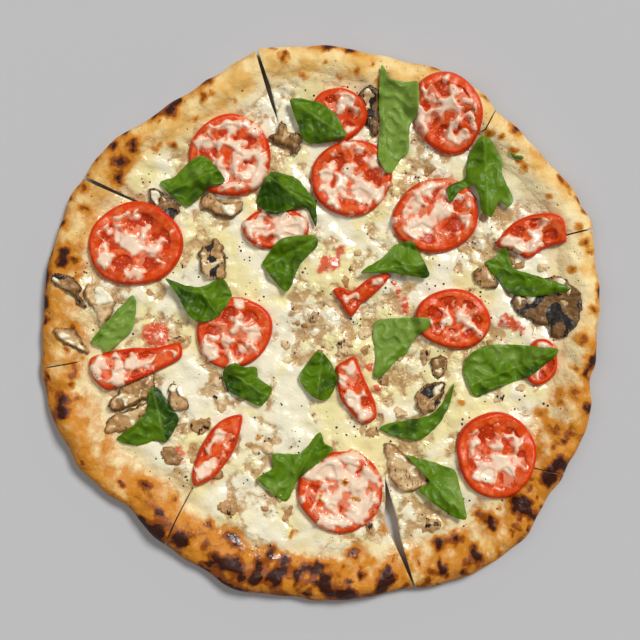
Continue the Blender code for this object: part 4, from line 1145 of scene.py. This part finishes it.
class PizzaSizes(bpy.types.PropertyGroup):
    """The fineness of the pieces and the height of their relief, in millimetres."""

    crust_step: size_setting("Crust step", "Distance between points along the rim", 1.3, 0.8, 6)
    cheese_step: size_setting("Cheese step", "Distance between points of the cheese", 1.36, 0.8, 6)
    topping_step: size_setting("Topping step", "Distance between points of a topping", 0.95, 0.6, 4)
    run_cheese: size_setting("Run cheese", "Thickness of the cheese on the tomatoes", 1.7, 0.5, 4)
    hollow_depth: size_setting("Hollow depth", "Depth of the wet hollows of a tomato", 1.5, 0, 3)
    leaf_quilting: size_setting("Leaf quilting", "Height of a leaf between its veins", 0.9, 0, 2)
    light_strength: bpy.props.FloatProperty(
        name="Light", description="Strength of the main light", default=2.7, min=0, max=20
    )


def look():
    """The colours that are set in the panel."""
    return bpy.context.scene.pizza_colours


def sizes():
    """The sizes that are set in the panel."""
    return bpy.context.scene.pizza_sizes


BED = Bed()


# Dough


def front(angle):
    """1 at the side of the pizza that stood nearest to the fire, 0 away from it."""
    apart = np.abs((angle - HOT_SIDE + math.pi) % (2 * math.pi) - math.pi)
    return 1 - smooth_step(apart, 0.55, 1.45)


def scorch(x, y):
    """How hot each place of the rim has been, from 0 to HEAT_LIMIT; on the lower left, part of it is
    painted shade.
    """
    angle, inset = around(x, y)[0], inset_of(x, y)
    near = front(angle)
    # The lower left side is browned a little more: partly toasting, and partly painted shade on the side
    # turned away from the main light.
    left = np.clip(np.cos(angle - LEFT_SIDE), 0, 1) ** 1.5
    heat = 0.1 + (0.26 * near + 0.33 * left) * (1 - smooth_step(inset, 14, 44))
    heat = heat + 0.15 * (1 - smooth_step(inset, 1, 8)) + 0.1 * lumps(x, y, 24, 41)
    heat = heat + 0.12 * (near + left) * lumps(x, y, 10, 50)
    over, up = wavered(x, y, 2, 6, 47)
    small = 0.6 * near * blobs(over, up, 8, 42, 0.45) + 0.8 * blobs(over, up, 6, 49, 0.12)
    heat = heat + small * (1 - smooth_step(inset, 14, 34))
    return np.clip(heat + 0.85 * spots(x, y), 0, HEAT_LIMIT)


def film(x, y):
    """How much of a thin film of cheese lies on the dough, from the edge of the cheese outwards."""
    angle, reach = around(x, y)
    inset = edge_radius(angle) - reach + 3.5 * lumps(x, y, 14, 43) + 1.5 * lumps(x, y, 5, 44)
    away = 0.5 + 0.5 * np.cos(angle - 2.25)
    margin = 6 + 13 * away**3 + 6 * front(angle) ** 2
    return smooth_step(inset, margin, margin + 8)


def crust_rows(step):
    """How far inside the edge each row of points lies."""
    edge = [0.0, 0.25, 0.7, 1.3, 2.0, 2.9]
    rim = np.arange(4.0, RIM_WIDTH + 2, step)
    return [*edge, *rim]


def build_crust(index, dough, crumb):
    """One slice of dough, between two neighbouring cuts."""
    step = sizes().crust_step
    columns = int(slice_width(index) * 165 / step)
    share = np.linspace(0, 1, columns)
    rows = [lambda angle, inset=inset: edge_radius(angle) - inset for inset in crust_rows(step)]
    rows += [
        lambda angle, part=part: TIP_RADIUS + part * (edge_radius(angle) - RIM_WIDTH - 4 - TIP_RADIUS)
        for part in (0.96, 0.8, 0.6, 0.4, 0.2, 0.0)
    ]
    points = np.vstack([np.column_stack(slice_points(index, share, row)) for row in rows])
    grid = np.arange(len(points)).reshape(len(rows), columns)
    a, b, c, d = grid[:-1, :-1], grid[:-1, 1:], grid[1:, 1:], grid[1:, :-1]
    faces = np.stack([a, b, c, a, c, d], axis=-1).reshape(-1, 3)
    x, y = points.T
    name = f"crust_{index + 1}"
    mesh = slab_mesh(f"baked_{name}", points, faces, dough_bottom(x, y), dough_top(x, y))
    heat, inset = scorch(x, y), inset_of(x, y)
    oil = np.maximum(film(x, y), 0.9 * front(around(x, y)[0]) ** 2 * smooth_step(inset, 2, 9))
    paint(mesh, "baked", np.concatenate([0.35 + 0.3 * lumps(x, y, 30, 51), heat]))
    paint(mesh, "oil", np.concatenate([0 * oil, oil]))
    paint(mesh, "film", np.concatenate([0 * oil, film(x, y)]))
    add_piece(f"baked_{name}", mesh, dough, "dough", name)
    mesh.materials.append(crumb)
    mark_cut_faces(mesh, 2 * len(faces))


def mark_cut_faces(mesh, first):
    """Gives the crumb to the side faces that a cut has bared."""
    for face in list(mesh.polygons)[first:]:
        x, y = face.center.x / MM, face.center.y / MM
        if inset_of(x, y) > 1.0:
            face.material_index = 1


# Cheese


def slit_side(index, side, reaches, parted_from):
    """Points along one side of a cut, at these distances from the hub."""
    points = []
    for reach in reaches:
        angle = cut_side(index, np.array([reach]), side, parted_from)[0]
        points.append((HUB[0] + reach * math.cos(angle), HUB[1] + reach * math.sin(angle)))
    return points


def cheese_outline(step):
    """The edge of the cheese, slice by slice, with the slits where the cuts gape."""
    outline = []
    for index in range(len(CUTS)):
        parted = CUTS[index][1], CUTS[(index + 1) % len(CUTS)][1]
        edge = cheese_reach(cut_side(index, PROBE, 1))[0]
        outwards = np.arange(min(parted[0], edge - 1), edge, step)
        outline += slit_side(index, 1, outwards, parted[0])
        share = np.linspace(0, 1, int(slice_width(index) * 145 / step))
        outline += zip(*slice_points(index, share, cheese_reach, parted))
        after = cheese_reach(cut_side(index + 1, PROBE, -1))[0]
        inwards = np.arange(after - step, min(parted[1], after - 1), -step)
        outline += slit_side(index + 1, -1, inwards, parted[1])
    return np.array(outline)


def pools(x, y):
    """Where the cheese has run into smooth pools: 1 in a pool, 0 in the rougher cheese between."""
    over, up = wavered(x, y, 7, 19, 66)
    level = 0.8 * lumps(over, up, 20, 68) + 0.15 * lumps(x, y, 6, 69)
    return smooth_step(mounds(POOLS, over, up, level), -0.35, 0.35)


def blush(x, y):
    """How strongly tomato shows red through the cheese, which rises a little over it."""
    over, up = wavered(x, y, 2, 6, 71)
    return mounds(BLUSHES, over, up, np.zeros_like(np.asarray(x, float)))


def cheese_lumps(x, y):
    """The soft lumps of the rougher cheese: 0 in the dips between them."""
    return blobs(x, y, 8.5, 62, 0.75) ** 0.8


def cheese_thickness(x, y):
    """Melted cheese lies in pools, thins out towards its edge, and keeps soft lumps."""
    short = cheese_inset(x, y)
    full = CHEESE_THICKNESS + CHEESE_SWELL * (
        0.6 * swell(x, y, 42, seed=11) + 0.4 * swell(x, y, 20, seed=12)
    )
    pool = pools(x, y)
    rough = 1.3 * cheese_lumps(x, y) + 0.3 * lumps(x, y, 3.6, 63)
    smooth = 1.4 + 0.45 * lumps(x, y, 7, 70, 1)
    full = full - 0.6 + pool * smooth + (1 - pool) * rough + 0.35 * lumps(x, y, 9, 61, 1)
    full = full + 1.2 * blush(x, y)
    return np.maximum(full, 0.8) * smooth_step(short, 0, 15) - 0.5 * (1 - smooth_step(short, 0, 6))


def cheese_heat(x, y):
    """Where the cheese has browned: in blisters, and most of all at the front."""
    short = cheese_inset(x, y)
    near = front(around(x, y)[0])
    outer = 1 - smooth_step(short, 2, 26)
    heat = 0.02 + 0.5 * outer * near * blobs(x, y, 11, 64, 0.5) + 0.75 * spots(x, y)
    edge = 1 - smooth_step(short, 2, 16)
    return np.clip(heat * (1 - edge) + scorch(x, y) * edge, 0, HEAT_LIMIT)


def build_cheese():
    """The cheese that covers the slices."""
    step = sizes().cheese_step * 1
    outline = cheese_outline(step)
    points, faces = sheet_within(outline, step)
    x, y = points.T
    whole = blurred(BED.heights, 8)
    whole = np.maximum(whole, BED.heights)
    block = (slice(0, len(BED.x)), slice(0, len(BED.x)))
    under = BED.read(whole, block, x, y)
    mesh = slab_mesh("melted_cheese", points, faces, under - 1.2, under + cheese_thickness(x, y))
    paint(mesh, "thin", both(1 - smooth_step(cheese_inset(x, y), 2, 16)))
    paint(mesh, "film", both(film(x, y)))
    paint(mesh, "baked", both(cheese_heat(x, y)))
    pool = pools(x, y)
    paint(mesh, "pool", both(pool))
    paint(mesh, "lump", both(cheese_lumps(x, y)))
    paint(mesh, "blush", both(blush(x, y)))
    paint(mesh, "stain", both((1 - pool) * smooth_step(lumps(x, y, 7, 80), -0.1, 0.6)))
    covered = cheese_inset(BED.x, BED.y) > 0
    top = whole + cheese_thickness(BED.x, BED.y)
    BED.heights = np.where(covered, top, BED.heights)
    add_piece("melted_cheese", mesh, cheese_material(look()), "cheese", "cheese", sharp=None)


# Toppings


def build_mushroom(name, brown, black, outline, material):
    """One slice of mushroom, with a worn edge and, in some, dark gills."""
    step = sizes().topping_step
    seed = int(name[-2:])
    outline = ragged(rounded(outline, step), 1.0, 4, seed)

    def thickness(x, y, depth):
        edge = 0.5 + 0.3 * smooth_step(depth, 0, 1.6)
        relief = 0.25 * lumps(x, y, 7, seed + 70) + 0.15 * lumps(x, y, 3, seed + 71)
        return np.maximum(MUSHROOM_THICKNESS * (edge + relief), 0.6)

    lower = drape(BED, outline, 0.35, thickness)
    points, faces = sheet_within(outline, step)
    x, y = points.T
    depth = depth_in(outline, x, y)
    bottom = lower(x, y)
    mesh = slab_mesh(f"roasted_{name}", points, faces, bottom, bottom + thickness(x, y, depth))
    skin = 1 - smooth_step(depth, 0.2, 2.4)
    paint(mesh, "brown", both(brown + 0.15 + 0.6 * skin * (0.4 + lumps(x, y, 12, seed + 5))))
    gills = black * smooth_step(lumps(x, y, 9, seed + 9, 1), -0.05, 0.3) * smooth_step(depth, 0.5, 2)
    paint(mesh, "dark", both(np.maximum(gills, 0.34 * skin * (0.6 + brown))))
    add_piece(f"roasted_{name}", mesh, material, "mushroom", name)


def hollows(x, y, middle, half_length, half_width, turn, seed):
    """The wet hollows round the core of a tomato slice: 1 inside one, 0 in the flesh."""
    along, across = turned_back(x - middle[0], y - middle[1], math.radians(turn))
    u, v = along / half_length, across / half_width
    reach, angle = np.hypot(u, v), np.arctan2(v, u)
    draw = np.random.default_rng(seed + 300)
    count = draw.integers(5, 8)
    wall = np.abs(np.sin(angle * count / 2 + draw.uniform(0, 6) + 0.5 * np.sin(angle + seed)))
    ring = smooth_step(reach, 0.26, 0.4) * (1 - smooth_step(reach, 0.68, 0.8))
    uneven = 0.14 * lumps(x, y, 6, seed + 31)
    return smooth_step(ring * wall + uneven, 0.38, 0.62)


def build_tomato(name, outline, facts, material):
    """One tomato slice, rounded at its skin and sunken in its hollows, which the facts place."""
    step = sizes().topping_step
    seed = int(name[-2:]) + 100

    def thickness(x, y, depth):
        edge = 0.4 + 0.6 * np.sqrt(np.clip(depth / 2.2, 0, 1))
        dish = 0.7 * smooth_step(depth, 5, 12)
        relief = 0.25 * lumps(x, y, 6, seed) - sizes().hollow_depth * hollows(x, y, *facts)
        return np.maximum(TOMATO_THICKNESS * edge - dish + relief * smooth_step(depth, 1, 3), 0.6)

    lower = drape(BED, outline, 0.28, thickness, softness=10)
    points, faces = sheet_within(outline, step)
    x, y = points.T
    depth = depth_in(outline, x, y)
    bottom = lower(x, y)
    mesh = slab_mesh(f"sliced_{name}", points, faces, bottom, bottom + thickness(x, y, depth))
    skin = 1 - smooth_step(depth + 0.5 * lumps(x, y, 6, seed + 3), 0.9, 2.6)
    paint(mesh, "skin", np.concatenate([np.ones_like(skin) * (depth < 1), skin]))
    paint(mesh, "hollow", both(hollows(x, y, *facts)))
    add_piece(f"sliced_{name}", mesh, material, "tomato", name)


def run_cheese_form(outline, cover, lean, kept, seed, rim):
    """How cheese has run over one topping: smooth pools, most of them towards the side that it
    leans to or kept to the middle, and a thin veil round them. Returns a function that turns x
    and y into how much cheese is there, how strongly it has gathered into a pool, and how far
    it rises."""
    middle, half = outline.mean(axis=0), np.ptp(outline, axis=0).max() / 2
    aim = math.radians(lean)

    def form(x, y):
        depth = depth_in(outline, x, y)
        over, up = wavered(x, y, 3, 8, seed + 2)
        net = 0.65 * lumps(over, up, 11, seed, 1) + 0.5 * lumps(over, up, 5.5, seed + 1, 1)
        towards = (x - middle[0]) * math.cos(aim) + (y - middle[1]) * math.sin(aim)
        level = net + (cover - 0.56) * 1.6 + 0.45 * (1 - 0.5 * kept) * towards / half
        level = level + kept * (0.7 - 1.6 * np.hypot(x - middle[0], y - middle[1]) / half)
        level = level - 0.9 * (1 - smooth_step(depth, 0.5, rim))
        pool = np.sqrt(np.clip(level, 0, 0.4) / 0.4)
        uneven = 0.8 + 0.25 * lumps(x, y, 6, seed + 4, 1)
        rise = 0.1 + 0.3 * smooth_step(level, VEIL_LEVEL, 0) + sizes().run_cheese * pool * uneven
        return np.where(depth > -0.01, level, -1), pool, rise

    return form


def run_cheese_sheet(outline, *facts):
    """Cheese run over one topping: points, faces and heights, and the pools; it joins the bed."""
    points, faces = sheet_within(outline, sizes().topping_step)
    form = run_cheese_form(outline, *facts)
    level, pool, rise = form(*points.T)
    height = BED.at(*points.T) + np.where(level > VEIL_LEVEL, rise, -0.6)
    used = (level[faces] > -0.4).any(axis=1)
    block = BED.window(outline)
    level, _, rise = form(BED.x[block], BED.y[block])
    BED.heights[block] = BED.heights[block] + np.where(level > VEIL_LEVEL, rise, 0)
    return (points, faces[used], height), pool


def build_run_cheese(material):
    """The cheese that has run over the toppings, as one mesh."""
    toppings = [
        (oval(middle, a + 1, b + 1, turn, OVAL_POINTS, 7), cover, lean, kept, 7, 1)
        for _, middle, a, b, turn, cover, lean, kept in ROUND_TOMATOES
    ]
    toppings += [(outline, cover, 200, 0.0, 4, 1) for _, cover, outline in SHAPED_TOMATOES]
    toppings += [
        (outline, 0.36 - 0.25 * black, 90, 0.0, 2, 0) for _, _, black, outline in MUSHROOMS
    ]
    sheets, thick, pink = [], [], []
    for number, (outline, cover, lean, kept, rim, red) in enumerate(toppings):
        facts = (cover, lean, kept, 400 + 5 * number, rim)
        sheet, pool = run_cheese_sheet(rounded(outline, RUN_SPACING), *facts)
        sheets.append(sheet)
        thick.append(pool)
        pink.append(np.full_like(pool, red))
    mesh, vertices = joined_mesh("run_cheese", sheets)
    paint(mesh, "thick", np.concatenate(thick))
    paint(mesh, "pink", np.concatenate(pink))
    paint(mesh, "baked", 1.1 * spots(*vertices.T[:2]) - 0.1)
    add_piece("run_cheese", mesh, material, "cheese", sharp=None)


def leaf_shape(start, end, rise):
    """The height of a leaf along its midrib and out to its wavy edges."""
    start, end = np.array(start, float), np.array(end, float)
    length = np.linalg.norm(end - start)
    along = (end - start) / length

    def place(x, y):
        run = (x - start[0]) * along[0] + (y - start[1]) * along[1]
        return run, (y - start[1]) * along[0] - (x - start[0]) * along[1]

    def height(x, y):
        run, side = place(x, y)
        side = np.abs(side)
        fold = rise * side / (0.35 * length)
        wave = 0.8 * np.sin(run / length * 9 + side / 3)
        return fold + max(0.0, -2 * rise) + wave

    def veins(x, y):
        run, side = place(x, y)
        rib = np.exp(-((side / 0.7) ** 2))
        spread = (run - 0.9 * np.abs(side)) / (0.17 * length)
        branch = 0.5 + 0.5 * np.cos(2 * math.pi * spread)
        # The last value tells the two halves of the blade apart, for their painted light and shade.
        return rib, branch, np.tanh(side / 2)

    return height, veins


def build_leaf(name, start, end, rise, light, outline, material, *replaced):
    """One basil leaf, quilted between its veins."""
    step = sizes().topping_step * 0.85
    seed = int(name[-2:])
    outline = ragged(rounded(outline, step, 0.8), 0.25, 4, seed)
    shape, veins = leaf_shape(start, end, rise)

    def thickness(x, y, depth):
        return LEAF_THICKNESS * (0.5 + 0.5 * smooth_step(depth, 0, 1.2))

    lower = drape(BED, outline, 0.9, thickness, shape, softness=5)
    points, faces = sheet_within(outline, step)
    x, y = points.T
    depth = depth_in(outline, x, y)
    rib, branch, half = veins(x, y)
    puckers = 0.6 - 2 * np.abs(lumps(x, y, 8, seed + 40, 1)) - 0.15 * branch**3
    quilt = sizes().leaf_quilting * puckers * (1 - rib) * smooth_step(depth, 0, 3)
    relief = quilt - 0.4 * rib + 1.2 * lumps(x, y, 12, seed + 3, 1)
    bottom = lower(x, y) + np.maximum(relief - 0.6 * relief.min(), 0)
    mesh = slab_mesh(f"fresh_{name}", points, faces, bottom, bottom + thickness(x, y, depth))
    paint(mesh, "vein", both(np.maximum(0.8 * rib, 0.2 * branch**8)))
    # Painted light and shade: one half of the blade, on one side of the midrib, is lighter than the other,
    # as if its fold caught the light.
    tone = light + 0.1 + 0.18 * half + 0.2 * lumps(x, y, 9, seed + 20)
    paint(mesh, "light", np.concatenate([np.full_like(x, 0.9), tone]))
    add_piece(f"fresh_{name}", mesh, material, "basil", *replaced)


def strewn_bits(count=150, seed=90):
    """Smaller chopped pieces, strewn over the rougher cheese."""
    draw = np.random.default_rng(seed)
    found = []
    while len(found) < count:
        x, y = draw.uniform(-160, 160, 2)
        if cheese_inset(x, y) < 12 or pools(np.array([x]), np.array([y]))[0] > 0.5:
            continue
        size = draw.uniform(3, 7.5)
        found.append((x, y, size, size * draw.uniform(0.5, 0.9), draw.uniform(0, 180)))
    return found


def build_bits(material):
    """Chopped mushroom, half sunk in the cheese, as one mesh."""
    sheets, brown, dark = [], [], []
    for number, (cx, cy, length, width, turn) in enumerate([*BITS, *strewn_bits()]):
        outline = rounded(oval((cx, cy), length / 2, width / 2, turn, 9, number), 0.8)
        outline = ragged(outline, 0.22 * width, 4, number + 500)
        points, faces = sheet_within(outline, 0.8)
        x, y = points.T
        depth = depth_in(outline, x, y)
        rise = 0.3 * width * np.sqrt(np.clip(depth / 2.5, 0, 1)) * (1 + 0.3 * lumps(x, y, 3, number))
        sheets.append((points, faces, BED.at(x, y) - 0.5 + np.minimum(rise, 2.4)))
        brown.append(np.full_like(x, 0.05 + 0.6 * (number * 0.37 % 1)))
        patches = np.clip(0.8 * lumps(x, y, 5, number + 8), 0, 1) * (number % 3 > 0)
        dark.append(np.maximum(patches, 0.3 * (1 - smooth_step(depth, 0, 1))))
    mesh, _ = joined_mesh("chopped_mushroom", sheets)
    paint(mesh, "brown", np.concatenate(brown))
    paint(mesh, "dark", np.concatenate(dark))
    add_piece("chopped_mushroom", mesh, material, "mushroom", sharp=None)


# Operators, in the order in which they run


class PIZZA_OT_dough(bpy.types.Operator):
    """Bakes the slices of dough"""

    bl_idname = "pizza.dough"
    bl_label = "Dough"

    def execute(self, context):
        dough, crumb = dough_material(look()), crumb_material(look())
        for index in range(len(CUTS)):
            build_crust(index, dough, crumb)
        BED.heights = dough_top(BED.x, BED.y)
        return {"FINISHED"}


class PIZZA_OT_cheese(bpy.types.Operator):
    """Melts the cheese over the slices"""

    bl_idname = "pizza.cheese"
    bl_label = "Cheese"

    def execute(self, context):
        build_cheese()
        return {"FINISHED"}


class PIZZA_OT_mushrooms(bpy.types.Operator):
    """Lays the slices of mushroom and the chopped pieces"""

    bl_idname = "pizza.mushrooms"
    bl_label = "Mushrooms"

    def execute(self, context):
        material = mushroom_material(look())
        build_bits(material)
        for name, brown, black, outline in MUSHROOMS:
            build_mushroom(name, brown, black, outline, material)
        return {"FINISHED"}


class PIZZA_OT_tomatoes(bpy.types.Operator):
    """Lays the slices of tomato, with the cheese that runs over them"""

    bl_idname = "pizza.tomatoes"
    bl_label = "Tomatoes"

    def execute(self, context):
        material = tomato_material(look())
        for number, (name, middle, a, b, turn, *_) in enumerate(ROUND_TOMATOES):
            outline = rounded(oval(middle, a, b, turn, OVAL_POINTS, number), TOMATO_SPACING)
            build_tomato(name, outline, (middle, a, b, turn, number), material)
        for number, (name, _, outline) in enumerate(SHAPED_TOMATOES):
            outline = rounded(outline, TOMATO_SPACING)
            build_tomato(name, outline, (outline.mean(axis=0), 20, 14, 0, number + 20), material)
        build_run_cheese(run_cheese_material(look()))
        return {"FINISHED"}


class PIZZA_OT_basil(bpy.types.Operator):
    """Scatters the basil leaves"""

    bl_idname = "pizza.basil"
    bl_label = "Basil"

    def execute(self, context):
        material = basil_material(look())
        for leaf in LEAVES:
            build_leaf(*leaf, material, leaf[0])
        build_leaf(*SCRAP, material)
        return {"FINISHED"}


class PIZZA_OT_stage(bpy.types.Operator):
    """Sets the floor, the lights and the camera"""

    bl_idname = "pizza.stage"
    bl_label = "Stage"

    def execute(self, context):
        build_stage()
        return {"FINISHED"}


# Floor, lights and camera

# The picture is this wide at this height above the table, and this far up lies its middle
PICTURE_WIDTH = 406.0
PICTURE_HEIGHT = 10.0
PICTURE_MIDDLE = 1.9
CAMERA_LENS = 70.0
CAMERA_SENSOR = 36.0

# Where the lights stand, the angles that they fill, and how strong the fill is beside the main
MAIN_LIGHT = (0.48, 0.54, 0.92)
MAIN_SPREAD = 16
FILL_LIGHT = (-0.8, 0.1, 1.1)
FILL_SPREAD = 50
FILL_SHARE = 0.2

# The light that comes from all round
STUDIO_COLOUR = (1.0, 0.98, 0.95, 1)
STUDIO_STRENGTH = 0.22

# Half the width of the floor, in metres
FLOOR_HALF = 15.0


def add_light(name, strength, spread, place):
    """A broad, even light, aimed at the pizza; spread is the angle that its source fills."""
    data = bpy.data.lights.new(name, "SUN")
    data.energy = strength
    data.angle = math.radians(spread)
    light = bpy.data.objects.new(name, data)
    light.location = place
    light.rotation_euler = (-Vector(place)).to_track_quat("-Z", "Y").to_euler()
    bpy.context.scene.collection.objects.link(light)


def build_stage():
    """A pale floor, a main light from the upper right, a fill, and a camera looking down."""
    scene = bpy.context.scene
    scene.view_settings.view_transform = "Standard"
    corners = np.array([(-1, -1, 0), (1, -1, 0), (1, 1, 0), (-1, 1, 0)]) * FLOOR_HALF
    floor = filled_mesh("floor", corners, np.array([(0, 1, 2), (0, 2, 3)]))
    material, _, shader = new_material("plain floor", 0.7, 0.2)
    shader.inputs["Base Color"].default_value = look().floor
    floor.materials.append(material)
    ground = bpy.data.objects.new("floor", floor)
    scene.collection.objects.link(ground)
    strength = sizes().light_strength
    add_light("main light", strength, MAIN_SPREAD, MAIN_LIGHT)
    add_light("fill light", strength * FILL_SHARE, FILL_SPREAD, FILL_LIGHT)
    world = bpy.data.worlds.new("studio")
    world.use_nodes = True
    background = world.node_tree.nodes["Background"]
    background.inputs["Color"].default_value = STUDIO_COLOUR
    background.inputs["Strength"].default_value = STUDIO_STRENGTH
    scene.world = world
    data = bpy.data.cameras.new("camera")
    data.lens = CAMERA_LENS
    data.sensor_width = CAMERA_SENSOR
    data.clip_start = 0.01
    camera = bpy.data.objects.new("camera", data)
    height = PICTURE_WIDTH * CAMERA_LENS / CAMERA_SENSOR + PICTURE_HEIGHT
    camera.location = (0, PICTURE_MIDDLE * MM, height * MM)
    scene.collection.objects.link(camera)
    scene.camera = camera


class PIZZA_PT_panel(bpy.types.Panel):
    """Lists the colours, the sizes and the steps"""

    bl_idname = "PIZZA_PT_panel"
    bl_label = "Pizza"
    bl_space_type = "VIEW_3D"
    bl_region_type = "UI"
    bl_category = "Pizza"

    def draw(self, context):
        for settings in (context.scene.pizza_sizes, context.scene.pizza_colours):
            for name in settings.__annotations__:
                self.layout.prop(settings, name)
        for operator in OPERATORS:
            self.layout.operator(operator.bl_idname)


OPERATORS = (
    PIZZA_OT_dough,
    PIZZA_OT_cheese,
    PIZZA_OT_mushrooms,
    PIZZA_OT_tomatoes,
    PIZZA_OT_basil,
    PIZZA_OT_stage,
)
CLASSES = (PizzaColours, PizzaSizes, *OPERATORS, PIZZA_PT_panel)


def register():
    for cls in CLASSES:
        bpy.utils.register_class(cls)
    bpy.types.Scene.pizza_colours = bpy.props.PointerProperty(type=PizzaColours)
    bpy.types.Scene.pizza_sizes = bpy.props.PointerProperty(type=PizzaSizes)


def unregister():
    del bpy.types.Scene.pizza_sizes
    del bpy.types.Scene.pizza_colours
    for cls in reversed(CLASSES):
        bpy.utils.unregister_class(cls)


def main():
    register()
    bpy.ops.pizza.dough()
    bpy.ops.pizza.cheese()
    bpy.ops.pizza.mushrooms()
    bpy.ops.pizza.tomatoes()
    bpy.ops.pizza.basil()
    bpy.ops.pizza.stage()


if __name__ == "__main__":
    main()
